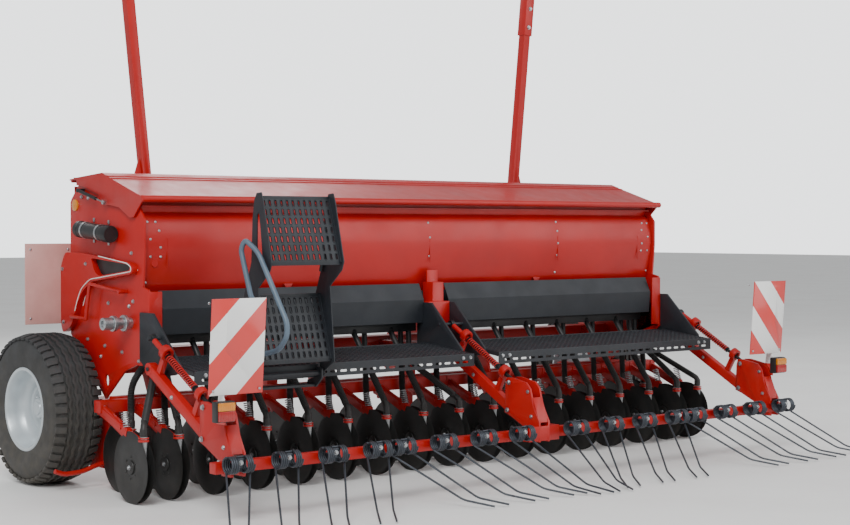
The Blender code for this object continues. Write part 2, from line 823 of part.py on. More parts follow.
def tube_path(x, rear):
    """Points of one seed tube of the right half, from the outlet rail down to its boot."""
    row_y = 0.0 if rear else ROW_SHIFT
    boot = BOOT_TOP + 0.012 + TOUCH
    foot, neck = (x, row_y, boot), (x, row_y, boot + 0.045)
    top_y, top = (0.300 if rear else 0.350), OUTLET_TOP - 0.010
    end = METER_END - TUBE_R - 0.002
    if x == 0:
        return [(0.110, top_y, top), (0.110, 0.285, 0.560), neck, foot]
    if x <= end:
        return [(x, top_y, top), neck, foot]
    if rear:
        out = end if x > PLATE_OUT else end - 2.4 * TUBE_R
        return [(out, top_y, top), (out, top_y, 0.640 if out < end else 0.600), neck, foot]
    knee = (x, row_y + 0.005, 0.530)
    return [(end, top_y, top), (end, top_y, 0.660), knee, neck, foot]


def seed_tubes(side, root):
    """Outlet rail of one half with the tubes that fall from it to the boots."""
    rail = box(
        (MID_HALF + TOUCH, OUTLET_REAR, OUTLET_LOW), (METER_END, OUTLET_FRONT, OUTLET_TOP)
    )
    pieces = [rail]
    for rear in (True, False):
        for x in row_places(rear):
            if x > 0 or (x == 0 and side < 0):
                pieces.append(bent_rod(tube_path(x, rear), TUBE_R))
    link = box(
        (0.40, OUTLET_FRONT - 0.06, OUTLET_TOP - 0.004), (METER_END - 0.3, OUTLET_FRONT, 0.7717)
    )
    piece = join(*pieces, link)
    finish(f"seed_tubes_{side_name(side)}", mirrored(piece, side), BLACK, root)


# ---------------------------------------------------------------- middle support, brackets
def mid_support(root):
    rear, front = PLATE_REAR - 0.015, PLATE_REAR + 0.080
    top = 0.995
    post = box((-MID_HALF, rear, 0.640), (MID_HALF, front, 0.890))
    neck = box((-MID_NECK, rear + 0.008, 0.880), (MID_NECK, front, top))
    foot = box((-MID_HALF + 0.02, front - 0.01, 0.600), (MID_HALF - 0.02, BEAM_REAR - TOUCH, 0.660))
    tab = box((-MID_NECK, HOPPER_REAR - 0.003, top - 0.01), (MID_NECK, HOPPER_REAR + 0.0095, 1.060))
    finish("mid_support", join(post, foot, neck, tab), RED, root)


def bracket_outline(front):
    """Triangular plate that holds both pivots of a harrow arm and the end of the platform."""
    return [
        (0.130, 0.885),
        (front, 0.885),
        (front, 0.655),
        (0.150, 0.592),
        (0.040, 0.592),
        (-0.060, 0.604),
        (-0.120, 0.622),
        (-0.120, 0.648),
        (0.010, 0.770),
    ]


def pin_pair(low, high):
    return [
        rod(at_x(low, pivot), at_x(high, pivot), PIN_R, 12) for pivot in (LOW_PIVOT, TOP_PIVOT)
    ]


def harrow_bracket_mid(root):
    """Two dark plates on the middle support, joined by the two pins."""
    inner = MID_HALF + TOUCH
    plates = [
        mirrored(plate(bracket_outline(PLATE_REAR + 0.070), inner, inner + BRACKET_T), side)
        for side in (-1, 1)
    ]
    reach = inner + BRACKET_T + 0.006
    finish("harrow_bracket_mid", join(*plates, *pin_pair(-reach, reach)), DARK, root)


def harrow_bracket_side(side, root):
    inner = PLATE_OUT + TOUCH
    sheet = plate(bracket_outline(PLATE_REAR + 0.070), inner, inner + BRACKET_T)
    end = SIDE_ARM_X + ARM_WIDE / 2 + 0.008
    piece = join(sheet, *pin_pair(inner + 0.002, end))
    finish(f"harrow_bracket_{side_name(side)}", mirrored(piece, side), DARK, root)


def platform_half(side, root):
    """Tilted deck with a deep rear edge, between the middle bracket and the outer bracket."""
    slope = math.radians(PLATFORM_TILT)
    ahead = Vector((math.cos(slope), math.sin(slope)))
    above = Vector((-math.sin(slope), math.cos(slope)))
    corner = Vector((PLATFORM_REAR, PLATFORM_TOP))
    drop = PLATFORM_EDGE
    front = corner + ahead * PLATFORM_DEEP
    rib = 0.006
    outline = [
        corner,
        front,
        front - above * 0.045,
        front - above * 0.045 - ahead * rib,
        front - above * DECK_T - ahead * rib,
        corner - above * DECK_T + ahead * rib,
        Vector((PLATFORM_REAR + rib, PLATFORM_TOP - drop)),
        Vector((PLATFORM_REAR, PLATFORM_TOP - drop)),
    ]
    inner = MID_HALF + TOUCH + BRACKET_T + TOUCH
    deck = mirrored(plate([tuple(point) for point in outline], inner, PLATE_OUT), side)
    if side < 0:
        deck = join(deck, *steps_cheeks())
    finish(f"platform_{side_name(side)}", deck, DARK, root)


# ---------------------------------------------------------------- harrow
def arm_frame(offset, rise):
    """A point at a share of the arm's length, raised square to the arm."""
    start, end = Vector(LOW_PIVOT), Vector(LOW_END)
    ahead = (end - start).normalized()
    above = Vector((-ahead.y, ahead.x))
    if above.y < 0:
        above = -above
    return tuple(start + (end - start) * offset + above * rise)


def eye(x, pivot, wide, radius):
    """A round end and the cutter of its bore."""
    low, high = at_x(x - wide / 2, pivot), at_x(x + wide / 2, pivot)
    hole = PIN_R + PIN_PLAY
    far = (at_x(x - wide, pivot), at_x(x + wide, pivot))
    return rod(low, high, radius, 12), rod(*far, hole, 12)


def arm_share(turn=0.0):
    """Where the top link's pivot lies from the lower one, along the arm and square to it."""
    ahead = Vector(LOW_END) - Vector(LOW_PIVOT)
    ahead.normalize()
    angle = math.radians(turn)
    rise = Vector(
        (
            LINK_RISE[0] * math.cos(angle) - LINK_RISE[1] * math.sin(angle),
            LINK_RISE[0] * math.sin(angle) + LINK_RISE[1] * math.cos(angle),
        )
    )
    return rise.dot(ahead), abs(rise.x * ahead.y - rise.y * ahead.x)


def slot_bar(x, ends, rises, radius, sides=6):
    """A bar along the arm, its section two half circles joined by straight sides."""
    shape = bmesh.new()
    rings = []
    for share in ends:
        ring = []
        for rise, first in ((max(rises), 0), (min(rises), 180)):
            for step in range(sides + 1):
                angle = math.radians(first + 180 * step / sides)
                point = arm_frame(share, rise + radius * math.sin(angle))
                ring.append(shape.verts.new((x + radius * math.cos(angle), *point)))
        rings.append(ring)
    low, high = rings
    for index in range(len(low)):
        shape.faces.new((low[index - 1], low[index], high[index], high[index - 1]))
    shape.faces.new(low)
    shape.faces.new(high)
    bmesh.ops.recalc_face_normals(shape, faces=shape.faces)
    return from_bmesh(shape)


def harrow_arm(name, x, owner):
    """Lower arm of the parallelogram, with two posts whose slotted rings guide the top rod."""
    start, hole = eye(x, LOW_PIVOT, ARM_WIDE, 0.030)
    end, end_hole = eye(x, LOW_END, ARM_WIDE - 0.012, 0.026)
    main = bar(at_x(x, LOW_PIVOT), at_x(x, arm_frame(0.97, 0.0)), ARM_WIDE - 0.004, ARM_TALL)
    pieces = [start, end]
    cutters = [hole, end_hole]
    length = (Vector(LOW_END) - Vector(LOW_PIVOT)).length
    bore = ROD_R + PASS
    rises = (arm_share()[1], arm_share(HARROW_LIFT)[1])
    for share in COLLAR_AT:
        head = arm_frame(share, min(rises) - bore - 0.002)
        pieces.append(bar(at_x(x, arm_frame(share, 0.0)), at_x(x, head), 0.024, 0.030))
        reach = COLLAR_LONG / 2 / length
        pieces.append(slot_bar(x, (share - reach, share + reach), rises, bore + COLLAR_WALL))
        cutters.append(slot_bar(x, (share - 2 * reach, share + 2 * reach), rises, bore))
    finish(name, cut(join(main, *pieces), *cutters), RED, owner)


def harrow_rod(name, x, owner):
    """Top rod with the spring around it, which has room to move to the rear ring."""
    start, hole = eye(x, TOP_PIVOT, 0.026, 0.021)
    end, end_hole = eye(x, TOP_END, 0.022, 0.021)
    stem = rod(at_x(x, TOP_PIVOT), at_x(x, TOP_END), ROD_R, 8)
    first, last = Vector(TOP_PIVOT), Vector(TOP_END)
    length = (last - first).length
    rest, lifted = arm_share()[0], arm_share(HARROW_LIFT)[0]
    near = (COLLAR_AT[0] * length + COLLAR_LONG / 2 + PASS - rest) / length
    far = (COLLAR_AT[1] * length - COLLAR_LONG / 2 - PASS - lifted) / length
    low, high = first.lerp(last, near), first.lerp(last, far)
    spring = rod(at_x(x, low), at_x(x, high), SPRING_R, 8)
    finish(name, cut(join(stem, start, end, spring), hole, end_hole), STEEL, owner)


def post_outline():
    """Side plates of the harrow carrier, from both rear pivots down over the beam."""
    low = HARROW_Z - HARROW_TUBE / 2 - 0.018
    return [
        (TOP_END[0] + 0.030, TOP_END[1] - 0.010),
        (TOP_END[0] + 0.020, TOP_END[1] + 0.024),
        (TOP_END[0] - 0.020, TOP_END[1] + 0.026),
        (-0.560, 0.500),
        (-0.590, 0.470),
        (-0.615, 0.380),
        (HARROW_Y - HARROW_TUBE / 2 - 0.013, HARROW_Z + 0.060),
        (HARROW_Y - HARROW_TUBE / 2 - 0.013, low),
        (HARROW_Y + 0.040, low),
        (HARROW_Y + 0.060, HARROW_Z + 0.020),
        (LOW_END[0] - 0.020, LOW_END[1] - 0.030),
        (LOW_END[0] + 0.026, LOW_END[1] - 0.014),
    ]


def carrier_post(x, inner_half):
    """Two plates either side of the arm's end with the two pins between them."""
    pieces = []
    for side in (-1, 1):
        low, high = sorted((x + side * inner_half, x + side * (inner_half + POST_T)))
        pieces.append(plate(post_outline(), low, high))
    start, end = (-0.601, 0.425), (-0.652, HARROW_Z + 0.055)
    pieces.append(bar(at_x(x, start), at_x(x, end), 2 * inner_half + POST_T, WEB_T))
    reach = inner_half + POST_T + 0.004
    for pivot in (LOW_END, TOP_END):
        pieces.append(rod(at_x(x - reach, pivot), at_x(x + reach, pivot), PIN_R, 12))
    return pieces


def tine_places():
    """X of the double tines of one half, from the end inwards, and the way that each splays."""
    step = (TINE_END - TINE_INNER - TINE_GROUP_GAP) / 6
    outer = [TINE_END - step * k for k in range(4)]
    inner = [outer[-1] - TINE_GROUP_GAP - step * k for k in range(4)]
    turns = [TINE_TURN] * 4 + [-TINE_TURN] * 3 + [-TINE_TURN_INNER]
    return list(zip(outer + inner, turns))


def double_tine(x, turn):
    """Coil of one double spring tine on its clamp, with two splayed legs and their tips."""
    pieces = [rod((x - 0.066, COIL_Y, COIL_Z), (x + 0.066, COIL_Y, COIL_Z), COIL_R, 8)]
    clamp = (HARROW_Y - HARROW_TUBE / 2 + 0.004, HARROW_Z)
    pieces.append(
        box((x - 0.020, COIL_Y, HARROW_Z - 0.015), (x + 0.020, clamp[0], HARROW_Z + 0.020))
    )
    angle = math.radians(turn)
    ahead = Vector((math.sin(angle), -math.cos(angle), 0.0))
    for offset in (-TINE_GAP / 2, TINE_GAP / 2):
        top = Vector((x + offset, COIL_Y, COIL_Z - COIL_R * 0.7))
        knee = Vector((top.x, top.y, TINE_KNEE_Z)) + ahead * TINE_LEG
        tip = Vector((top.x, top.y, TINE_TIP_Z)) + ahead * (TINE_LEG + TINE_TIP)
        pieces.append(bent_rod((top, knee, tip), TINE_R, 4))
    return pieces


def harrow_post_side(side, owner):
    """Carrier post at the end of the harrow, whose plates grip the beam in jaws open to the rear."""
    half = HARROW_TUBE / 2 + TOUCH
    jaw = box(
        (PLATE_OUT - 0.1, HARROW_Y - 0.2, HARROW_Z - half),
        (PLATE_OUT + 0.3, HARROW_Y + half, HARROW_Z + half),
    )
    piece = cut(join(*carrier_post(SIDE_ARM_X, ARM_WIDE / 2 + PASS)), jaw)
    finish(f"harrow_post_{side_name(side)}", mirrored(piece, side), RED, owner)


def harrow_section(side, owner):
    """Square beam of one half with its eight double tines."""
    half = HARROW_TUBE / 2
    beam = box(
        (0.0015, HARROW_Y - half, HARROW_Z - half),
        (HARROW_END, HARROW_Y + half, HARROW_Z + half),
    )
    pieces = []
    for x, turn in tine_places():
        pieces += double_tine(x, turn)
    piece = mirrored(join(beam, *pieces), side)
    finish(f"harrow_section_{side_name(side)}", piece, RED, owner)


def harrow_post_mid(owner):
    """Middle carrier post, whose plates wrap both beams with room to slide them in."""
    half = HARROW_TUBE / 2 + TOUCH
    pieces = carrier_post(0.0, ARM_WIDE / 2 + PASS)
    clamp = box(
        (-0.105, HARROW_Y - half - 0.012, HARROW_Z - half - 0.012),
        (0.105, HARROW_Y + half + 0.012, HARROW_Z + half + 0.012),
    )
    bore = box(
        (-0.2, HARROW_Y - half, HARROW_Z - half), (0.2, HARROW_Y + half, HARROW_Z + half)
    )
    finish("harrow_post_mid", cut(join(clamp, *pieces), bore), RED, owner)


def warning_panel(side, owner):
    """Tilted panel on a back bar that stands on the carrier post."""
    low = Vector((HARROW_Y + 0.012, PANEL_LOW))
    lean = math.radians(PANEL_TILT)
    above = Vector((-math.sin(lean), math.cos(lean)))
    behind = Vector((math.cos(lean), math.sin(lean)))
    high = low + above * PANEL_TALL
    outline = [low, high, high + behind * PANEL_T, low + behind * PANEL_T]
    left, right = PANEL_X - PANEL_WIDE / 2, PANEL_X + PANEL_WIDE / 2
    sheet = plate([tuple(point) for point in outline], left, right)
    post = SIDE_ARM_X + ARM_WIDE / 2 + PASS + POST_T + TOUCH
    stay = plate(
        [
            (low.x + 0.003, LAMP_LOW + LAMP_TALL + 0.012),
            (low.x - 0.004, LAMP_LOW + LAMP_TALL + 0.005),
            (low.x - 0.004, 0.430),
            (low.x + 0.060, 0.430),
            (high.x + 0.024, high.y - 0.05),
            (high.x + 0.002, high.y - 0.05),
        ],
        post,
        post + 0.006,
    )
    piece = mirrored(join(sheet, stay), side)
    finish(f"warning_panel_{side_name(side)}", piece, PANEL, owner)


def lamp(side, owner):
    """Rear lamp: a housing against the rear edge of the panel's stay, with its lens."""
    front = HARROW_Y + 0.008 - TOUCH
    inner, outer = LAMP_IN, LAMP_IN + LAMP_WIDE
    low, high = LAMP_LOW, LAMP_LOW + LAMP_TALL
    housing = box((inner, front - 0.038, low), (outer, front, high))
    lens = box(
        (inner + 0.005, front - 0.052, low + 0.005), (outer - 0.005, front - 0.030, high - 0.005)
    )
    finish(f"rear_lamp_{side_name(side)}", mirrored(join(housing, lens), side), LAMP, owner)


# ---------------------------------------------------------------- steps and markers
def access_steps(owner):
    """Two treads between side plates, folded up over the platform, with a bent handrail."""
    left, right = STEPS_X - STEPS_HALF, STEPS_X + STEPS_HALF
    y, z = STEPS_AXIS
    rear = [
        (y + 0.012, z - 0.007),
        (y + 0.012, z + 0.100),
        (y + 0.050, 0.960),
        (y - 0.015, 1.130),
        (y - 0.025, 1.330),
        (y - 0.060, 1.452),
        (y - 0.095, 1.455),
        (y - 0.180, 1.130),
        (y - 0.165, 1.090),
        (y - 0.070, 1.010),
        (y - 0.105, 0.650),
        (y - 0.022, z + 0.008),
        (y - 0.010, z - 0.010),
        (y, z - 0.014),
    ]
    hole = [(y - 0.060, 1.150), (y - 0.105, 1.160), (y - 0.080, 1.360), (y - 0.065, 1.360)]
    pieces = [
        plate(rear, left, left + STEP_PLATE_T, holes=(hole,)),
        plate(rear, right - STEP_PLATE_T, right),
    ]
    for top in ((y - 0.064, 1.430), (y + 0.015, 0.966)):
        low = (top[0] - STEP_TALL * math.sin(math.radians(17)), top[1] - 0.306)
        pieces.append(
            bar(at_x(STEPS_X, top), at_x(STEPS_X, low), 2 * STEPS_HALF - 0.004, 0.024)
        )
    pieces.append(rod((left + 0.001, y, z), (right - 0.001, y, z), 0.014, 16))
    rail = [
        (left + 0.004, y - 0.090, 0.930),
        (left - 0.050, y - 0.090, 0.960),
        (left - 0.055, y - 0.010, 1.190),
        (left - 0.045, y - 0.030, 1.235),
        (left - 0.020, y - 0.100, 1.180),
        (left - 0.012, y - 0.320, 0.860),
        (left - 0.012, y - 0.320, 0.800),
        (left - 0.012, y - 0.260, 0.735),
        (left + 0.004, y - 0.090, 0.700),
    ]
    pieces.append(bent_rod(rail, 0.013, 6))
    finish("access_steps", join(*pieces), DARK, owner)


def steps_cheeks():
    """Two cheeks below the platform's rear edge that carry the steps, and the strip between."""
    y, z = STEPS_AXIS
    inner = 2 * STEPS_HALF - 2 * STEP_PLATE_T - 2 * PASS
    face = PLATFORM_REAR + 0.003
    cheeks = []
    for x in (STEPS_X - inner / 2, STEPS_X + inner / 2 - 0.010):
        outline = [
            (y - 0.028, z - 0.028),
            (face, 0.520),
            (y + 0.09, 0.520),
            (y + 0.09, 0.550),
            (face, 0.569),
            (face, z + 0.03),
            (y - 0.028, z + 0.028),
        ]
        ear = plate(outline, x, x + 0.010)
        hole = rod((x - 0.02, y, z), (x + 0.03, y, z), 0.014 + PIN_PLAY, 16)
        cheeks.append(cut(ear, hole))
    strip = box(
        (STEPS_X - inner / 2 + 0.001, PLATFORM_REAR + 0.004, 0.522),
        (STEPS_X + inner / 2 - 0.001, y + 0.088, 0.534),
    )
    return [strip, *cheeks]


def marker_crossbar(root):
    """Rail on the hopper's front that carries the pins of both markers."""
    rear = HOPPER_FRONT + TOUCH
    end = MARKER_X + 0.100
    rail = box((-end, rear, CROSSBAR_LOW), (end, rear + CROSSBAR_T, CROSSBAR_TOP))
    pieces = [rail]
    front = MARKER_Y + MARKER_TUBE / 2 + 0.012
    for side in (-1, 1):
        x = side * MARKER_X
        pieces.append(rod((x, rear + 0.01, MARKER_Z), (x, front, MARKER_Z), 0.014, 12))
    finish("marker_crossbar", join(*pieces), RED, root)


def marker_point(distance):
    lean = math.radians(MARKER_LEAN)
    return Vector(
        (MARKER_X + distance * math.sin(lean), MARKER_Y, MARKER_Z + distance * math.cos(lean))
    )


def marker_arm(side, owner):
    """Leaning tube with a gusset at its foot, a wider sleeve and the inner tube for the disc."""
    foot, tip = marker_point(0.0), marker_point(MARKER_LONG)
    tube = bar(foot, marker_point(MARKER_SLEEVE_AT[1] - 0.02), MARKER_TUBE, MARKER_TUBE)
    sleeve = bar(
        marker_point(MARKER_SLEEVE_AT[0]),
        marker_point(MARKER_SLEEVE_AT[1]),
        MARKER_SLEEVE,
        MARKER_SLEEVE,
    )
    inner = bar(marker_point(MARKER_SLEEVE_AT[1] - 0.05), tip, 0.040, 0.040)
    half = MARKER_TUBE / 2
    boss = rod((foot.x, MARKER_Y - half, foot.z), (foot.x, MARKER_Y + half, foot.z), 0.036, 12)
    gusset = plate(
        [
            (MARKER_X + 0.015, MARKER_Z + 0.020),
            (MARKER_X + 0.085, MARKER_Z + 0.120),
            (MARKER_X + 0.050, MARKER_Z + 0.230),
            (MARKER_X + 0.020, MARKER_Z + 0.230),
        ],
        MARKER_Y - 0.006,
        MARKER_Y + 0.006,
        across="Y",
    )
    pin = rod(tip - (tip - foot).normalized() * 0.01, marker_point(MARKER_LONG + 0.05), 0.012, 12)
    hole = rod(
        (foot.x, MARKER_Y - 0.08, foot.z), (foot.x, MARKER_Y + 0.08, foot.z), 0.014 + PIN_PLAY, 12
    )
    piece = cut(join(tube, sleeve, inner, boss, gusset, pin), hole)
    finish(f"marker_arm_{side_name(side)}", mirrored(piece, side), RED, owner)


def marker_disc(side, owner):
    """Dished disc that turns on the pin at the marker's end."""
    lean = math.radians(MARKER_LEAN)
    across = (math.sin(lean), 0.0, math.cos(lean))
    play = 0.012 + PIN_PLAY
    profile = [
        (play, 0.0),
        (0.035, 0.0),
        (0.035, 0.014),
        (MARKER_DISC_R, 0.038),
        (MARKER_DISC_R, 0.042),
        (0.035, 0.020),
        (0.030, 0.034),
        (play, 0.034),
    ]
    piece = turned(profile, 16, marker_point(MARKER_LONG + PASS), across)
    finish(f"marker_disc_{side_name(side)}", mirrored(piece, side), BLACK, owner)


# ---------------------------------------------------------------- the drill
def build():
    root = body("seed_drill_frame", (0, -MIDDLE_Y, 0))
    main_beam(root)
    hopper(root)
    mid_support(root)
    harrow_bracket_mid(root)
    top_link_bracket(root)
    drive_cover(root)
    document_tube(root)
    drive_hub(root)
    crank_handle(root)
    marker_crossbar(root)
    coulter_row("coulters_rear", True, root)
    coulter_row("coulters_front", False, root)

    lid_body = body("lid_axis", (0, *LID_AXIS), root)
    lid(lid_body)
    barrels = body("strut_barrel_axis", (0, *STRUT_PIVOT), root)
    rods = body("strut_rod_axis", (0, *STRUT_EYE), barrels)
    steps = body("steps_axis", (STEPS_X, *STEPS_AXIS), root)
    access_steps(steps)
    lift = body("harrow_arm_axis", (0, *LOW_PIVOT), root)
    carrier = body("harrow_carrier_axis", (0, *LOW_END), lift)
    top_rods = body("harrow_rod_axis", (0, *TOP_PIVOT), root)
    harrow_arm("harrow_arm_mid", 0.0, lift)
    harrow_rod("harrow_rod_mid", 0.0, top_rods)
    harrow_post_mid(carrier)

    for side in (-1, 1):
        side_plate(side, root)
        metering_cover(side, root)
        seed_tubes(side, root)
        platform_half(side, root)
        harrow_bracket_side(side, root)
        wheel_arm(side, root)
        guard_panel(side, root)
        stand_x = headstock_side(side, root)
        stand = body(f"front_stand_slide_{side_name(side)}", (side * stand_x, STAND_Y, 0), root)
        front_stand(side, stand_x, stand)
        hub = (side * (TYRE_IN + TYRE_WIDE / 2), WHEEL_Y, TYRE_R)
        wheel(side, body(f"wheel_axis_{side_name(side)}", hub, root))
        lid_strut(side, barrels, rods)
        name = side_name(side)
        harrow_arm(f"harrow_arm_{name}", side * SIDE_ARM_X, lift)
        harrow_rod(f"harrow_rod_{name}", side * SIDE_ARM_X, top_rods)
        harrow_section(side, carrier)
        harrow_post_side(side, carrier)
        warning_panel(side, carrier)
        lamp(side, carrier)
        pivot = body(f"marker_axis_{name}", (side * MARKER_X, MARKER_Y, MARKER_Z), root)
        marker_arm(side, pivot)
        tip = marker_point(MARKER_LONG + PASS)
        spin = body(f"marker_disc_axis_{name}", (side * tip.x, tip.y, tip.z), pivot)
        marker_disc(side, spin)


build()
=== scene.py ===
"""Visual model of a mounted seed drill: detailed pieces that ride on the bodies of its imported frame."""

import logging
import math
from dataclasses import dataclass, field
from enum import Enum
from typing import Any, Sequence

import bmesh
import bpy
from mathutils import Matrix, Vector


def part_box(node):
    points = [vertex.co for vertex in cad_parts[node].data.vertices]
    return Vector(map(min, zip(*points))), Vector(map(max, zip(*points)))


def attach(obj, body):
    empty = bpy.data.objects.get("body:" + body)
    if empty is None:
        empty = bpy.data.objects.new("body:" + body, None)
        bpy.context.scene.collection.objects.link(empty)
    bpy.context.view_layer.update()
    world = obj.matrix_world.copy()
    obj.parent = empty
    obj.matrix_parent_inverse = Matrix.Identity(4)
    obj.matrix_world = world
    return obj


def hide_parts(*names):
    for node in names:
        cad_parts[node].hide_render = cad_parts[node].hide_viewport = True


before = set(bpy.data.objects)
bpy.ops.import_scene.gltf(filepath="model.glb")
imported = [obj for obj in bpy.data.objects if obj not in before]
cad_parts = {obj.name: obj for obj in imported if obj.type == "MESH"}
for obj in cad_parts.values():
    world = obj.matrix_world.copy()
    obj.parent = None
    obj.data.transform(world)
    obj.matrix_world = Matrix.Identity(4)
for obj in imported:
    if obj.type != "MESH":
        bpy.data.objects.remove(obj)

LOG = logging.getLogger("seed_drill")
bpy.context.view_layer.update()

Point2 = tuple[float, float]
Point3 = Sequence[float]
Socket = bpy.types.NodeSocket

# Driving sizes in metres, in the drill's own frame: x across, y ahead of the rear coulters, z above ground.
PLATE_OUT = 1.800
PLATE_IN = 1.788
WHEEL_Y = 0.95
TYRE_R = 0.38
TYRE_WIDE = 0.262
TYRE_IN = PLATE_OUT + 0.020
RIM_R = 0.205
ROW_STEP = 0.25
ROW_SHIFT = 0.33
REAR_OUTER = PLATE_OUT + 0.1375
FRONT_OUTER = PLATE_OUT + 0.0125
DISC_R = 0.17
DISC_Y = 0.10
BOOT_TOP = 0.312
RAIL = 0.060
RAIL_LOW = 0.40
REAR_RAIL_Y = 0.40
FRONT_RAIL_Y = 0.53
TUBE_R = 0.019
METER_END = PLATE_IN - 0.068
MID_EDGE = 0.0876
PLATFORM_REAR = -0.220
PLATFORM_TOP = 0.632
PLATFORM_DEEP = 0.380
PLATFORM_TILT = math.radians(6.5)
BOLT_TURN = 1.0
DUST = "8F8370"
DUST_ROUGH = 0.85
HARROW_Y = -0.620
HARROW_Z = 0.247
HARROW_TUBE = 0.050
HARROW_END = PLATE_OUT + 0.160
LOW_PIVOT = (0.074, 0.628)
LOW_END = (-0.426, 0.350)
LINK_RISE = (-0.011, 0.143)
SIDE_ARM_X = 1.8503
ARM_PLACES = {"left": -SIDE_ARM_X, "mid": 0.0, "right": SIDE_ARM_X}
COIL_Y = -0.700
COIL_Z = 0.265
STEPS_X = -1.300
STEPS_HALF = 0.210
STEPS_AXIS = (-0.240, 0.590)
TREAD_TOPS = ((-0.304, 1.430), (-0.225, 0.966))
TREAD_LEAN = math.radians(17)
LID_HALF = 1.8145
LIP_AT = (0.210, 1.430)
CASE_FRONT = (-1.8433, 0.785, 1.284)
CASE_REAR = (-1.8433, 0.465, 1.258)
CASE_R = 0.040
HUB_AT = (0.351, 0.830)
WHEEL_BOLT_RING = 0.078
HUB_BOLT_RING = 0.052
DISC_TOE = 0.045
TINE_R = 0.0048
TINE_END = PLATE_OUT + 0.077
TINE_INNER = 0.190
TINE_GROUP_GAP = 0.147
ROD_R = 0.0095
SLEEVE_R = 0.0135
PANEL_LEAN = math.radians(4.5)
PANEL_OUTER = PLATE_OUT + 0.171
MARKER_X = 1.320
MARKER_Y = 1.010
MARKER_Z = 1.430
MARKER_LEAN = math.radians(6.0)
MARKER_LONG = 1.720
MARKER_DISC_R = 0.200
SHIFT = Vector((0.0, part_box("tyre_left")[1].y - WHEEL_Y - TYRE_R, 0.0))


class Body(Enum):
    """Bodies of the frame that pieces ride on."""

    FRAME = "frame"
    LID = "lid"
    BARRELS = "strut_barrels"
    RODS = "strut_rods"
    STEPS = "steps"
    ARMS = "harrow_arms"
    HARROW = "harrow"
    HARROW_RODS = "harrow_rods"
    WHEEL_LEFT = "wheel_left"
    WHEEL_RIGHT = "wheel_right"
    MARKER_LEFT = "marker_left"
    MARKER_RIGHT = "marker_right"
    DISC_LEFT = "marker_disc_left"
    DISC_RIGHT = "marker_disc_right"
    STAND_LEFT = "stand_left"
    STAND_RIGHT = "stand_right"


class Slot(Enum):
    """Material slots of the record."""

    RED = "red_paint"
    DARK = "anthracite_paint"
    RUBBER = "tyre_rubber"
    RIM = "silver_rim_paint"
    STEEL = "zinc_plated_steel"
    PLASTIC = "black_plastic"
    BLACK = "black_steel_paint"
    PANEL = "reflective_panel"
    AMBER = "amber_lamp"


def side_name(side: int) -> str:
    """Returns the word for a side.

    Args:
        side: -1 for the left, 1 for the right.

    Returns:
        "left" or "right".
    """
    return "left" if side < 0 else "right"


def linear(code: str) -> tuple[float, float, float, float]:
    """Turns an sRGB hex code into the linear colour that a shader takes.

    Args:
        code: Six hex digits.

    Returns:
        Linear red, green, blue and an alpha of one.
    """
    parts = [int(code[k : k + 2], 16) / 255 for k in (0, 2, 4)]
    red, green, blue = (c / 12.92 if c <= 0.04045 else ((c + 0.055) / 1.055) ** 2.4 for c in parts)
    return (red, green, blue, 1.0)


def add_node(tree: bpy.types.NodeTree, kind: str, inputs: dict | None = None, **settings: Any) -> Any:
    """Adds a node with its settings, values and links.

    Args:
        tree: Tree that takes the node.
        kind: Type name of the node.
        inputs: Socket name or number to a value, or to the output socket that feeds it.
        settings: Properties of the node.

    Returns:
        The node.
    """
    node = tree.nodes.new(kind)
    for key, value in settings.items():
        setattr(node, key, value)
    for key, value in (inputs or {}).items():
        if isinstance(value, bpy.types.NodeSocket):
            tree.links.new(value, node.inputs[key])
        else:
            node.inputs[key].default_value = value
    return node


def noise(tree: bpy.types.NodeTree, point: Socket, scale: float, detail: float, rough: float = 0.5) -> Socket:
    """Adds a noise.

    Args:
        tree: Tree of the material.
        point: Where it is read.
        scale: Patches to a metre.
        detail: Octaves.
        rough: Share that each octave keeps.

    Returns:
        Socket from 0 to 1.
    """
    inputs = {"Vector": point, "Scale": scale, "Detail": detail, "Roughness": rough}
    return add_node(tree, "ShaderNodeTexNoise", inputs).outputs[0]


def ramp(
    tree: bpy.types.NodeTree, value: Socket, low: float, high: float, first: float = 0.0, last: float = 1.0
) -> Socket:
    """Maps one range of a value onto another and holds it there.

    Args:
        tree: Tree of the material.
        value: The value.
        low: Value that gives the first result.
        high: Value that gives the last one.
        first: Result at the low end.
        last: Result at the high end.

    Returns:
        Socket of the result.
    """
    inputs = {0: value, 1: low, 2: high, 3: first, 4: last}
    return add_node(tree, "ShaderNodeMapRange", inputs, clamp=True).outputs[0]


def blend(tree: bpy.types.NodeTree, share: Socket, first: Any, second: Any) -> Socket:
    """Mixes two colours.

    Args:
        tree: Tree of the material.
        share: How much of the second colour shows.
        first: Colour or socket.
        second: Colour or socket.

    Returns:
        Socket of the colour.
    """
    return add_node(tree, "ShaderNodeMix", {0: share, 6: first, 7: second}, data_type="RGBA").outputs[2]


def maths(tree: bpy.types.NodeTree, operation: str, first: Any, second: Any = 0.5) -> Socket:
    """Adds a calculation with one or two values.

    Args:
        tree: Tree of the material.
        operation: Name of the calculation.
        first: Value or socket.
        second: Value or socket.

    Returns:
        Socket of the result.
    """
    return add_node(tree, "ShaderNodeMath", {0: first, 1: second}, operation=operation).outputs[0]


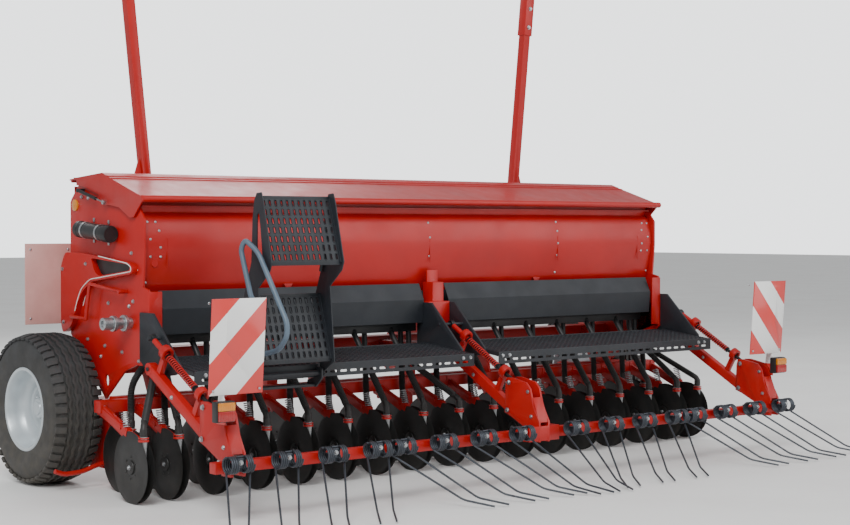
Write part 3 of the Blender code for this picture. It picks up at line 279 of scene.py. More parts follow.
# ---------------------------------------------------------------- finishes
@dataclass(frozen=True)
class Finish:
    """A surface whose colour, roughness and relief vary at real sizes in millimetres."""

    name: str
    colour: str
    second: str
    rough: Point2 = (0.35, 0.50)
    patch_mm: float = 160.0
    grain_mm: float = 3.0
    depth_mm: float = 0.03
    metallic: float = 0.0
    coat: float = 0.0
    dust: float = 0.10
    clear: float = 0.0

    def pattern(self, tree: bpy.types.NodeTree, point: Socket) -> Socket:
        """Builds the share of the second colour at each point.

        Args:
            tree: Tree of the material.
            point: Object coordinates.

        Returns:
            Socket from 0 to 1.
        """
        return ramp(tree, noise(tree, point, 1000 / self.patch_mm, 4.0, 0.6), 0.38, 0.66)

    def material(self) -> bpy.types.Material:
        """Builds the material once and gives it again after that.

        Returns:
            The material.
        """
        if self.name in bpy.data.materials:
            return bpy.data.materials[self.name]
        made = bpy.data.materials.new(self.name)
        made.use_nodes = True
        tree = made.node_tree
        tree.nodes.clear()
        point = add_node(tree, "ShaderNodeTexCoord").outputs["Object"]
        dust = self.dust_share(tree, point)
        colour = blend(tree, self.pattern(tree, point), linear(self.colour), linear(self.second))
        rough = ramp(tree, noise(tree, point, 9.0, 5.0), 0.3, 0.7, *self.rough)
        bump = add_node(
            tree,
            "ShaderNodeBump",
            {
                "Height": noise(tree, point, 1000 / self.grain_mm, 2.0),
                "Distance": self.depth_mm / 1000,
                "Strength": 0.6,
            },
        )
        surface = add_node(
            tree,
            "ShaderNodeBsdfPrincipled",
            {
                "Base Color": blend(tree, dust, colour, linear(DUST)),
                "Roughness": add_node(tree, "ShaderNodeMix", {0: dust, 2: rough, 3: DUST_ROUGH}).outputs[0],
                "Normal": bump.outputs[0],
                "Metallic": self.metallic,
                "Coat Weight": self.coat,
                "Coat Roughness": 0.12,
                "Transmission Weight": self.clear,
            },
        )
        add_node(tree, "ShaderNodeOutputMaterial", {"Surface": surface.outputs[0]})
        return made

    def dust_share(self, tree: bpy.types.NodeTree, point: Socket) -> Socket:
        """Builds how much field dust lies at each point, most near the ground.

        Args:
            tree: Tree of the material.
            point: Object coordinates.

        Returns:
            Socket from 0 to 1.
        """
        height = add_node(tree, "ShaderNodeSeparateXYZ", {0: point}).outputs[2]
        fade = ramp(tree, height, 0.02, 0.75, self.dust, self.dust * 0.15)
        return maths(tree, "MULTIPLY", fade, noise(tree, point, 22.0, 6.0))


@dataclass(frozen=True)
class Spangle(Finish):
    """Zinc with angular grains of two greys."""

    def pattern(self, tree: bpy.types.NodeTree, point: Socket) -> Socket:
        """Gives each zinc grain its own grey.

        Args:
            tree: Tree of the material.
            point: Object coordinates.

        Returns:
            Socket from 0 to 1.
        """
        cells = add_node(tree, "ShaderNodeTexVoronoi", {"Vector": point, "Scale": 1000 / self.patch_mm})
        return add_node(tree, "ShaderNodeSeparateColor", {0: cells.outputs["Color"]}).outputs[0]


@dataclass(frozen=True)
class Stripes(Finish):
    """Diagonal stripes that fall outwards, as on a warning panel."""

    step: float = 0.283
    outer: float = PANEL_OUTER
    top: float = 0.983

    def pattern(self, tree: bpy.types.NodeTree, point: Socket) -> Socket:
        """Measures in from the outer edge and down from the top.

        Args:
            tree: Tree of the material.
            point: Object coordinates.

        Returns:
            Socket that is 0 on a coloured stripe and 1 on a white one.
        """
        parts = add_node(tree, "ShaderNodeSeparateXYZ", {0: point})
        value = maths(tree, "ABSOLUTE", parts.outputs[0])
        steps = (
            ("ADD", parts.outputs[2]), ("SUBTRACT", self.outer + self.top), ("DIVIDE", -self.step),
            ("FRACT", 0.0), ("GREATER_THAN", 0.5),
        )
        for operation, second in steps:
            value = maths(tree, operation, value, second)
        return value


# The deep signal red of the hopper and arms: a soft gloss whose tone drifts a little over each sheet.
RED = Finish("red polyester enamel", "B80A04", "A90803", (0.34, 0.48), 420, 2.2, 0.02, coat=0.08, dust=0.04)
# Blue-black sheet steel that shows softer, wider highlights than the red.
DARK = Finish(
    "anthracite polyester powder coat", "23282F", "1B2026", (0.42, 0.58), 260, 1.6, 0.05, dust=0.12
)
# Matt grey-black with dust in the tread.
RUBBER = Finish("carbon black natural rubber", "35373A", "2A2C2E", (0.72, 0.90), 70, 1.2, 0.10, dust=0.34)
# Pale silver dish of the wheel.
RIM = Finish("silver baked wheel enamel", "C9D1D5", "B4BDC2", (0.26, 0.40), 300, 1.4, 0.02, 0.35, 0.3)
# Bolts and rods with a cool, broken shine.
ZINC = Spangle("zinc plated steel", "C3C6C8", "9CA0A3", (0.28, 0.46), 9, 1.0, 0.02, 0.9)
# Tubes, caps and housings that take a low sheen.
PLASTIC = Finish("black polypropylene", "17181B", "1F2124", (0.36, 0.52), 90, 0.9, 0.03, dust=0.14)
# Coulter and marker discs, near black and even.
DISC = Finish("black electrodip coat on boron steel", "121417", "1B1E21", (0.36, 0.52), 120, 1.2, 0.03, 0.2)
# Tines and coils, blue-grey from the oil bath.
SPRING = Finish("oil hardened spring steel", "454B54", "383E47", (0.36, 0.54), 60, 1.0, 0.03, 0.55)
# Seed boots, light grey with a cast texture.
CAST = Finish("aluminium painted cast iron", "A9AEB0", "8D9396", (0.42, 0.60), 40, 2.4, 0.16, 0.5, dust=0.3)
# Red and white panel, bright and slightly beaded.
PANEL = Stripes(
    "red and white acrylic reflector sheet", "D93A35", "F1F1EF", (0.26, 0.36), 60, 2.0, 0.03, coat=0.3
)
# Pale pink sheet of the side guards.
GUARD = Finish("pale red reflector film on sheet steel", "D8A9A2", "CE9B94", (0.34, 0.46), 200, 2.0, 0.02)
# Lamp glass that glows amber in daylight.
AMBER = Finish("amber polycarbonate", "F0991C", "E88A12", (0.10, 0.18), 40, 4.0, 0.05, coat=0.6, clear=0.25)
# The tail lamp's other half.
LENS = Finish("red polycarbonate", "C01A18", "A91212", (0.10, 0.18), 40, 4.0, 0.05, coat=0.6, clear=0.2)
# Slate blue of the handrail.
RAIL_BLUE = Finish("slate blue powder coat", "5B6D7D", "4F606F", (0.34, 0.48), 160, 1.6, 0.03)
# Thin white lines along the plate.
WHITE = Finish("white cast vinyl", "ECECE8", "E0E0DC", (0.35, 0.45), 80, 2.0, 0.01)
# Pale studio floor.
FLOOR = Finish("pale polished concrete", "F7F7F5", "F2F1EF", (0.66, 0.82), 900, 5.0, 0.05, dust=0.0)


# ---------------------------------------------------------------- shapes
def curve(start: Vector, corner: Vector, end: Vector, steps: int) -> list[Vector]:
    """Bends from one point to another round a corner.

    Args:
        start: First point.
        corner: The corner that the curve leans to.
        end: Last point.
        steps: Pieces of the curve.

    Returns:
        Points of the curve.
    """
    shares = [step / steps for step in range(steps + 1)]
    return [start * (1 - t) ** 2 + corner * 2 * t * (1 - t) + end * t * t for t in shares]


def rounded(points: Sequence[Point3], radius: float, steps: int = 4) -> list[Vector]:
    """Rounds the corners of a path.

    Args:
        points: Corners of the path.
        radius: How far before and after a corner the curve runs.
        steps: Pieces of each curve.

    Returns:
        Points of the rounded path.
    """
    path = [Vector(p) for p in points]
    result = [path[0]]
    for before, corner, after in zip(path, path[1:], path[2:]):
        reach = min(radius, (corner - before).length * 0.45, (after - corner).length * 0.45)
        start = corner + (before - corner).normalized() * reach
        end = corner + (after - corner).normalized() * reach
        result += curve(start, corner, end, steps)
    return [*result, path[-1]]


def rounded_loop(points: Sequence[Point2], radius: float, steps: int = 3) -> list[Point2]:
    """Rounds every corner of a closed outline.

    Args:
        points: Corners of the outline.
        radius: How far before and after a corner the curve runs.
        steps: Pieces of each curve.

    Returns:
        Points of the rounded outline.
    """
    path = [Vector(p) for p in points]
    result = []
    for index, corner in enumerate(path):
        before, after = path[index - 1], path[(index + 1) % len(path)]
        start = corner + (before - corner).normalized() * min(radius, (corner - before).length * 0.45)
        end = corner + (after - corner).normalized() * min(radius, (after - corner).length * 0.45)
        result += [tuple(point) for point in curve(start, corner, end, steps)]
    return result


def frame_of(axis: Vector) -> tuple[Vector, Vector]:
    """Finds two directions square to an axis.

    Args:
        axis: The axis.

    Returns:
        The two unit vectors.
    """
    helper = Vector((0, 0, 1)) if abs(axis.normalized().z) < 0.9 else Vector((1, 0, 0))
    first = helper.cross(axis).normalized()
    return first, axis.cross(first).normalized()


class Shape:
    """Collects simple solids in the drill's frame and finishes them as one piece."""

    def __init__(self) -> None:
        self.data = bmesh.new()

    def absorb(self, part: bmesh.types.BMesh, bevel: float) -> "Shape":
        """Softens the edges of a part and takes it in.

        Args:
            part: The part, freed here.
            bevel: Width of the softened edge.

        Returns:
            The shape itself.
        """
        bmesh.ops.recalc_face_normals(part, faces=part.faces)
        if bevel:
            edges = [e for e in part.edges if len(e.link_faces) == 2 and e.calc_face_angle(0) > 0.45]
            bmesh.ops.bevel(
                part, geom=edges, offset=bevel, segments=2, profile=0.7, affect="EDGES", clamp_overlap=True
            )
        mesh = bpy.data.meshes.new("part")
        part.to_mesh(mesh)
        part.free()
        self.data.from_mesh(mesh)
        bpy.data.meshes.remove(mesh)
        return self

    def block(self, low: Point3, high: Point3, bevel: float = 0.0015) -> "Shape":
        """Adds a box between two corners.

        Args:
            low: Lowest corner.
            high: Highest corner.
            bevel: Width of the softened edge.

        Returns:
            The shape itself.
        """
        part = bmesh.new()
        first, last = Vector(low), Vector(high)
        place = Matrix.Translation((first + last) / 2) @ Matrix.Diagonal((*(last - first), 1.0))
        bmesh.ops.create_cube(part, size=1.0, matrix=place)
        return self.absorb(part, bevel)

    def bar(self, start: Point3, end: Point3, wide: float, tall: float, bevel: float = 0.002) -> "Shape":
        """Adds a rectangular bar between two points.

        Args:
            start: Middle of one end.
            end: Middle of the other end.
            wide: Size along X, or along Y for a bar that runs along X.
            tall: Size across that.
            bevel: Width of the softened edge.

        Returns:
            The shape itself.
        """
        line = Vector(end) - Vector(start)
        ahead = line.normalized()
        side = Vector((1, 0, 0)) if abs(ahead.x) < 0.5 else Vector((0, 1, 0))
        above = ahead.cross(side).normalized()
        turn = Matrix((above.cross(ahead), above, ahead)).transposed().to_4x4()
        place = Matrix.Translation((Vector(start) + Vector(end)) / 2) @ turn
        part = bmesh.new()
        size = Matrix.Diagonal((wide, tall, line.length, 1.0))
        bmesh.ops.create_cube(part, size=1.0, matrix=place @ size)
        return self.absorb(part, bevel)

    def plate(
        self,
        outline: Sequence[Point2],
        low: float,
        high: float,
        bevel: float = 0.001,
        holes: Sequence[Sequence[Point2]] = (),
        across: str = "X",
    ) -> "Shape":
        """Adds a plate cut to an outline.

        Args:
            outline: Corners in (y, z), or in (x, z) when across is "Y".
            low: Where the plate starts along its thickness.
            high: Where it ends.
            bevel: Width of the softened edge.
            holes: Outlines of the holes.
            across: Axis of the thickness.

        Returns:
            The shape itself.
        """
        part = bmesh.new()
        edges = []
        for loop in (outline, *holes):
            ring = [
                part.verts.new((low, *p) if across == "X" else (p[0], low, p[1])) for p in loop
            ]
            edges += [part.edges.new((ring[k - 1], ring[k])) for k in range(len(ring))]
        if holes:
            bmesh.ops.triangle_fill(part, use_beauty=True, use_dissolve=False, edges=edges)
        else:
            part.faces.new(list(part.verts))
        grown = bmesh.ops.extrude_face_region(part, geom=list(part.faces))["geom"]
        push = Vector((high - low, 0, 0)) if across == "X" else Vector((0, high - low, 0))
        points = [g for g in grown if isinstance(g, bmesh.types.BMVert)]
        bmesh.ops.translate(part, verts=points, vec=push)
        return self.absorb(part, bevel)

    def sweep(
        self, path: Sequence[Point3], radius: float | Sequence[float], sides: int = 12, flat: float = 1.0
    ) -> "Shape":
        """Adds a round bar along a path.

        Args:
            path: Points of the path.
            radius: One radius, or one for each point.
            sides: Facets round the bar.
            flat: Share by which the second direction is flattened.

        Returns:
            The shape itself.
        """
        points = [Vector(p) for p in path]
        radii = [radius] * len(points) if isinstance(radius, (int, float)) else radius
        part = bmesh.new()
        first, _ = frame_of(points[1] - points[0])
        rings = []
        for index, point in enumerate(points):
            before = points[max(index - 1, 0)]
            after = points[min(index + 1, len(points) - 1)]
            ahead = (after - before).normalized()
            first = (first - ahead * first.dot(ahead)).normalized()
            second = ahead.cross(first)
            ring = []
            for step in range(sides):
                angle = 2 * math.pi * step / sides
                spread = first * math.cos(angle) + second * math.sin(angle) * flat
                ring.append(part.verts.new(point + spread * radii[index]))
            rings.append(ring)
        for low, high in zip(rings, rings[1:]):
            for k in range(sides):
                part.faces.new((low[k - 1], low[k], high[k], high[k - 1]))
        part.faces.new(rings[0])
        part.faces.new(rings[-1])
        return self.absorb(part, 0.0)

    def lathe(
        self,
        profile: Sequence[Point2],
        centre: Point3,
        axis: Point3 = (1, 0, 0),
        steps: int = 48,
        closed: bool = False,
    ) -> "Shape":
        """Adds a turned solid.

        Args:
            profile: Points as (distance along the axis, radius).
            centre: Where the axis starts.
            axis: Direction of the axis.
            steps: Facets round the axis.
            closed: Joins the last point to the first, for a ring.

        Returns:
            The shape itself.
        """
        part = bmesh.new()
        ahead = Vector(axis).normalized()
        first, second = frame_of(ahead)
        rings: list[list[bmesh.types.BMVert]] = []
        for along, radius in profile:
            middle = Vector(centre) + ahead * along
            count = 1 if radius < 1e-6 else steps
            turns = (2 * math.pi * k / steps for k in range(count))
            rings.append(
                [
                    part.verts.new(middle + (first * math.cos(a) + second * math.sin(a)) * radius)
                    for a in turns
                ]
            )
        for low, high in zip(rings, rings[1:] + (rings[:1] if closed else [])):
            for k in range(steps):
                corners = (
                    low[(k - 1) % len(low)], low[k % len(low)], high[k % len(high)],
                    high[(k - 1) % len(high)],
                )
                part.faces.new(list(dict.fromkeys(corners)))
        if not closed:
            for ring in (rings[0], rings[-1]):
                if len(ring) > 2:
                    part.faces.new(ring)
        return self.absorb(part, 0.0)

    def disc(
        self, radius: float, ends: Point2, centre: Point3, axis: Point3 = (1, 0, 0), steps: int = 24
    ) -> "Shape":
        """Adds a plain cylinder.

        Args:
            radius: Its radius.
            ends: Distances along the axis at which it starts and ends.
            centre: Where the axis starts.
            axis: Direction of the axis.
            steps: Facets round the axis.

        Returns:
            The shape itself.
        """
        low, high = ends
        return self.lathe([(low, 0.0), (low, radius), (high, radius), (high, 0.0)], centre, axis, steps)

    def mirrored(self, side: int) -> "Shape":
        """Turns the shape over to the left side.

        Args:
            side: -1 mirrors across the middle plane, 1 leaves the shape as it is.

        Returns:
            The shape itself.
        """
        if side < 0:
            bmesh.ops.transform(self.data, matrix=Matrix.Diagonal((-1, 1, 1, 1)), verts=self.data.verts)
            bmesh.ops.reverse_faces(self.data, faces=self.data.faces)
        return self

    def mesh(self, name: str, shift: Vector = SHIFT) -> bpy.types.Mesh:
        """Writes the shape to a mesh with smooth faces and sharp corners.

        Args:
            name: Name of the mesh.
            shift: Move from the drill's frame.

        Returns:
            The mesh.
        """
        bmesh.ops.translate(self.data, verts=self.data.verts, vec=shift)
        mesh = bpy.data.meshes.new(name)
        self.data.to_mesh(mesh)
        self.data.free()
        return smooth(mesh)

    def finish(
        self, name: str, body: Body, look: Finish, slot: Slot | None = None, replaces: Sequence[str] = ()
    ) -> bpy.types.Object:
        """Turns the shape into a piece.

        Args:
            name: Name of the piece.
            body: Body that it rides on.
            look: Its surface.
            slot: Material slot; not used.
            replaces: Nodes that it stands for.

        Returns:
            The piece.
        """
        return piece_of(self.mesh(name), name, body, look, replaces)


def smooth(mesh: bpy.types.Mesh, angle: float = 34.0) -> bpy.types.Mesh:
    """Smooths faces and keeps corners above an angle sharp.

    Args:
        mesh: The mesh.
        angle: Limit in degrees.

    Returns:
        The mesh.
    """
    mesh.shade_smooth()
    mesh.set_sharp_from_angle(angle=math.radians(angle))
    return mesh


def piece_of(
    mesh: bpy.types.Mesh,
    name: str,
    body: Body,
    look: Finish,
    replaces: Sequence[str] = (),
) -> bpy.types.Object:
    """Adds a mesh to the scene as a piece on a body.

    Args:
        mesh: The mesh, in the row frame.
        name: Name of the piece.
        body: Body that it rides on.
        look: Its surface.
        replaces: Nodes that it stands for.

    Returns:
        The piece.
    """
    mesh.materials.clear()
    mesh.materials.append(look.material())
    made = bpy.data.objects.new(name, mesh)
    bpy.context.scene.collection.objects.link(made)
    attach(made, body.value)
    if replaces:
        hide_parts(*replaces)
    LOG.info("%s: %d faces", name, len(mesh.polygons))
    return made


def refined(
    node: str, look: Finish, body: Body = Body.FRAME, soften: float = 0.0015,
    corner: float = 34.0,
) -> bpy.types.Object:
    """Makes a piece from a node's own mesh with softened edges, in the node's place.

    Args:
        node: Name of the node.
        look: Surface of the piece.
        body: Body that it rides on.
        soften: Width of the softened edges.
        corner: Angle in degrees above which a corner stays sharp.

    Returns:
        The piece.
    """
    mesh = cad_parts[node].data.copy()
    part = bmesh.new()
    part.from_mesh(mesh)
    bmesh.ops.remove_doubles(part, verts=part.verts, dist=1e-5)
    bmesh.ops.dissolve_limit(part, angle_limit=math.radians(1.0), verts=part.verts, edges=part.edges)
    part.to_mesh(mesh)
    part.free()
    holder = bpy.data.objects.new(node + "_shape", mesh)
    bpy.context.scene.collection.objects.link(holder)
    edge = holder.modifiers.new("edge", "BEVEL")
    edge.width = soften
    edge.segments = 2
    edge.limit_method = "ANGLE"
    edge.angle_limit = math.radians(32)
    edge.use_clamp_overlap = True
    made = applied(holder)
    return piece_of(smooth(made, corner), node + "_body", body, look, (node,))


def applied(holder: bpy.types.Object) -> bpy.types.Mesh:
    """Evaluates an object's modifiers into a new mesh and removes the object.

    Args:
        holder: Object with the modifiers.

    Returns:
        The new mesh.
    """
    bpy.context.view_layer.update()
    graph = bpy.context.evaluated_depsgraph_get()
    mesh = bpy.data.meshes.new_from_object(holder.evaluated_get(graph))
    bpy.data.objects.remove(holder)
    return mesh


# ---------------------------------------------------------------- repeated things
@dataclass(frozen=True)
class Spot:
    """A place for one copy: its facing becomes the copy's Z and across its X."""

    at: Point3
    facing: Point3 = (0.0, 0.0, 1.0)
    across: Point3 = (1.0, 0.0, 0.0)
    size: Point3 = (1.0, 1.0, 1.0)


def new_tree(name: str, inputs: Sequence[tuple[str, str]]) -> tuple[Any, Any]:
    """Starts a geometry tree with named inputs.

    Args:
        name: Name of the tree.
        inputs: Name and socket type of each input after the geometry.

    Returns:
        The tree and its group input node.
    """
    tree = bpy.data.node_groups.new(name, "GeometryNodeTree")
    tree.interface.new_socket("Geometry", in_out="INPUT", socket_type="NodeSocketGeometry")
    for label, kind in inputs:
        tree.interface.new_socket(label, in_out="INPUT", socket_type="NodeSocket" + kind)
    tree.interface.new_socket("Geometry", in_out="OUTPUT", socket_type="NodeSocketGeometry")
    return tree, add_node(tree, "NodeGroupInput")


def placed(tree: Any, start: Any, instance: bpy.types.NodeSocket) -> None:
    """Ends a tree: copies on the points, turned by their attributes, realised and painted.

    Args:
        tree: The tree.
        start: Its group input node.
        instance: Geometry of one copy.
    """
    facing, across, size = (
        add_node(tree, "GeometryNodeInputNamedAttribute", {"Name": word}, data_type="FLOAT_VECTOR")
        for word in ("facing", "across", "size")
    )
    turn = add_node(
        tree, "FunctionNodeAlignRotationToVector", {"Vector": facing.outputs[0]}, axis="Z"
    )
    turn = add_node(
        tree,
        "FunctionNodeAlignRotationToVector",
        {"Rotation": turn.outputs[0], "Vector": across.outputs[0]},
        axis="X",
        pivot_axis="Z",
    )
    chance = add_node(
        tree, "FunctionNodeRandomValue", {
            "Min": 0.0, "Max": 1.0, "Seed": start.outputs["Seed"]
        }, data_type="FLOAT"
    )
    for socket in chance.inputs:
        if socket.name == "Seed":
            tree.links.new(start.outputs["Seed"], socket)
    share = add_node(
        tree,
        "ShaderNodeMath",
        {0: chance.outputs[1], 1: start.outputs["Turn"]},
        operation="MULTIPLY",
    )
    spin = add_node(
        tree,
        "FunctionNodeAxisAngleToRotation",
        {"Axis": (0.0, 0.0, 1.0), "Angle": share.outputs[0]},
    )
    turn = add_node(
        tree,
        "FunctionNodeRotateRotation",
        {"Rotation": turn.outputs[0], "Rotate By": spin.outputs[0]},
        rotation_space="LOCAL",
    )
    copies = add_node(
        tree,
        "GeometryNodeInstanceOnPoints",
        {
            "Points": start.outputs["Geometry"],
            "Instance": instance,
            "Rotation": turn.outputs[0],
            "Scale": size.outputs[0],
        },
    )
    real = add_node(tree, "GeometryNodeRealizeInstances", {"Geometry": copies.outputs[0]})
    painted = add_node(
        tree,
        "GeometryNodeSetMaterial",
        {"Geometry": real.outputs[0], "Material": start.outputs["Material"]},
    )
    add_node(tree, "NodeGroupOutput", {"Geometry": painted.outputs[0]})


def scatter_tree() -> Any:
    """Builds the tree that copies an object onto points.

    Returns:
        The tree.
    """
    tree, start = new_tree(
        "scatter", (("Piece", "Object"), ("Turn", "Float"), ("Seed", "Int"), ("Material", "Material"))
    )
    info = add_node(tree, "GeometryNodeObjectInfo", {"Object": start.outputs["Piece"]})
    placed(tree, start, info.outputs["Geometry"])
    return tree


def coil_tree() -> Any:
    """Builds the tree that winds a wire coil on each point.

    Returns:
        The tree.
    """
    tree, start = new_tree(
        "coil",
        (
            ("Radius", "Float"), ("Wire", "Float"), ("Height", "Float"), ("Turns", "Float"),
            ("Turn", "Float"), ("Seed", "Int"), ("Material", "Material"),
        ),
    )
    spiral = add_node(
        tree,
        "GeometryNodeCurveSpiral",
        {
            "Resolution": 18,
            "Rotations": start.outputs["Turns"],
            "Start Radius": start.outputs["Radius"],
            "End Radius": start.outputs["Radius"],
            "Height": start.outputs["Height"],
        },
    )
    ring = add_node(
        tree,
        "GeometryNodeCurvePrimitiveCircle",
        {"Resolution": 8, "Radius": start.outputs["Wire"]},
        mode="RADIUS",
    )
    wire = add_node(
        tree,
        "GeometryNodeCurveToMesh",
        {"Curve": spiral.outputs[0], "Profile Curve": ring.outputs[0], "Fill Caps": True},
    )
    placed(tree, start, wire.outputs[0])
    return tree


def grown(tree: Any, spots: Sequence[Spot], values: dict[str, Any]) -> bpy.types.Mesh:
    """Runs a tree over the spots.

    Args:
        tree: The tree.
        spots: Places of the copies, in the drill's frame.
        values: Value of each named input.

    Returns:
        The mesh of all copies.
    """
    mesh = bpy.data.meshes.new("spots")
    mesh.from_pydata([tuple(Vector(s.at) + SHIFT) for s in spots], [], [])
    for word in ("facing", "across", "size"):
        layer = mesh.attributes.new(word, "FLOAT_VECTOR", "POINT")
        layer.data.foreach_set("vector", [c for s in spots for c in getattr(s, word)])
    holder = bpy.data.objects.new("spots", mesh)
    bpy.context.scene.collection.objects.link(holder)
    grower = holder.modifiers.new("grow", "NODES")
    grower.node_group = tree
    for item in tree.interface.items_tree:
        if item.in_out == "INPUT" and item.name in values:
            grower[item.identifier] = values[item.name]
    return applied(holder)


@dataclass
class Trees:
    """The two geometry trees of the model and the calls that use them."""

    scatter: Any = field(default_factory=scatter_tree)
    coil: Any = field(default_factory=coil_tree)

    def copies(
        self, shape: Shape, spots: Sequence[Spot], name: str, body: Body, look: Finish, turn: float = 0.0,
        slot: Slot | None = None, replaces: Sequence[str] = (),
    ) -> bpy.types.Object:
        """Adds one piece that holds a copy of a shape at each spot.

        Args:
            shape: What is copied, about the origin.
            spots: Places of the copies.
            name: Name of the piece.
            body: Body that it rides on.
            look: Its surface.
            turn: Largest chance turn about the facing, in radians.
            slot: Material slot; not used.
            replaces: Nodes that the piece stands for.

        Returns:
            The piece.
        """
        source = bpy.data.objects.new(name + "_one", shape.mesh(name + "_one", Vector()))
        bpy.context.scene.collection.objects.link(source)
        values = {"Piece": source, "Turn": turn, "Seed": len(spots), "Material": look.material()}
        mesh = grown(self.scatter, spots, values)
        bpy.data.objects.remove(source)
        return piece_of(smooth(mesh), name, body, look, replaces)

    def bolts(self, spots: Sequence[Spot], name: str, body: Body = Body.FRAME) -> bpy.types.Object:
        """Adds a zinc plated bolt head at each spot, each turned by chance.

        Args:
            spots: Places of the heads.
            name: Name of the piece.
            body: Body that it rides on.

        Returns:
            The piece.
        """
        return self.copies(hex_bolt(), spots, name, body, ZINC, BOLT_TURN, Slot.STEEL)

    def domes(self, spots: Sequence[Spot], name: str, body: Body = Body.FRAME) -> bpy.types.Object:
        """Adds a round zinc plated head at each spot.

        Args:
            spots: Places of the heads.
            name: Name of the piece.
            body: Body that it rides on.

        Returns:
            The piece.
        """
        return self.copies(dome_bolt(), spots, name, body, ZINC, 0.0, Slot.STEEL)

    def coils(
        self, spots: Sequence[Spot], name: str, body: Body, look: Finish, radius: float, wire: float,
        height: float, turns: float, slot: Slot | None = None,
    ) -> bpy.types.Object:
        """Adds one piece with a coil spring at each spot.

        Args:
            spots: Feet of the coils; the facing is the coil's axis.
            name: Name of the piece.
            body: Body that it rides on.
            look: Its surface.
            radius: Radius to the middle of the wire.
            wire: Radius of the wire.
            height: Length of a coil.
            turns: Turns of a coil.
            slot: Material slot; not used.

        Returns:
            The piece.
        """
        values = {
            "Radius": radius, "Wire": wire, "Height": height, "Turns": turns,
            "Turn": 0.0, "Seed": 7, "Material": look.material(),
        }
        return piece_of(smooth(grown(self.coil, spots, values), 60), name, body, look)


def hex_bolt() -> Shape:
    """Makes a hexagonal bolt head on its washer, 20 mm wide.

    Returns:
        The shape, facing Z.
    """
    head = Shape().disc(0.010, (0.0, 0.0016), (0, 0, 0), (0, 0, 1), 20)
    cap = [(0.0016, 0.0), (0.0016, 0.0082), (0.0068, 0.0082), (0.0078, 0.0074), (0.0078, 0.0)]
    return head.lathe(cap, (0, 0, 0), (0, 0, 1), 6)


def dome_bolt() -> Shape:
    """Makes a round head, 18 mm wide.

    Returns:
        The shape, facing Z.
    """
    dome = [(0.0, 0.0), (0.0, 0.009)]
    dome += [(0.0055 * math.sin(a), 0.009 * math.cos(a)) for a in (0.3, 0.6, 0.9, 1.2)]
    return Shape().lathe([*dome, (0.0055, 0.0)], (0, 0, 0), (0, 0, 1), 20)


def pierced_tile(
    wide: float, long: float, hole: Point2, thick: float, rise: float, corner: float = 0.5
) -> Shape:
    """Makes one cell of a pierced sheet, its hole pressed up at the rim.

    Args:
        wide: Size along X.
        long: Size along Y.
        hole: Half sizes of the hole.
        thick: Thickness of the sheet.
        rise: Height of the rim.
        corner: Share by which the corners of the hole are cut.

    Returns:
        The shape, with its top at zero and facing Z.
    """
    part = bmesh.new()
    x, y = wide / 2, long / 2
    outer = [(x, -y), (x, 0), (x, y), (0, y), (-x, y), (-x, 0), (-x, -y), (0, -y)]
    a, b = hole
    c = 1 - corner * 0.5
    inner = [
        (a * c, -b * c), (a, 0), (a * c, b * c), (0, b), (-a * c, b * c), (-a, 0), (-a * c, -b * c), (0, -b)
    ]
    rings = []
    for loop, scale, z in (
        (outer, 1.0, -thick), (outer, 1.0, 0.0), (inner, 1.28, 0.0), (inner, 1.08, rise),
        (inner, 1.0, rise), (inner, 1.0, -thick),
    ):
        rings.append([part.verts.new((p[0] * scale, p[1] * scale, z)) for p in loop])
    for low, high in zip(rings, rings[1:] + rings[:1]):
        for k in range(8):
            part.faces.new((low[k - 1], low[k], high[k], high[k - 1]))
    return Shape().absorb(part, 0.0)


def row_places(rear: bool) -> list[float]:
    """Lists X of each coulter in a row.

    Args:
        rear: True for the rear row.

    Returns:
        The places from left to right.
    """
    half = [ROW_STEP * k for k in range(1, 8)] + [REAR_OUTER]
    if not rear:
        half = [ROW_STEP * (k + 0.5) for k in range(7)] + [FRONT_OUTER]
    return [-x for x in reversed(half)] + ([0.0] if rear else []) + half


# ---------------------------------------------------------------- sub-assemblies
@dataclass
class Assembly:
    """A part of the drill that is built with the shared geometry trees."""

    trees: Trees

    def build(self) -> None:
        """Builds the pieces."""
        raise NotImplementedError


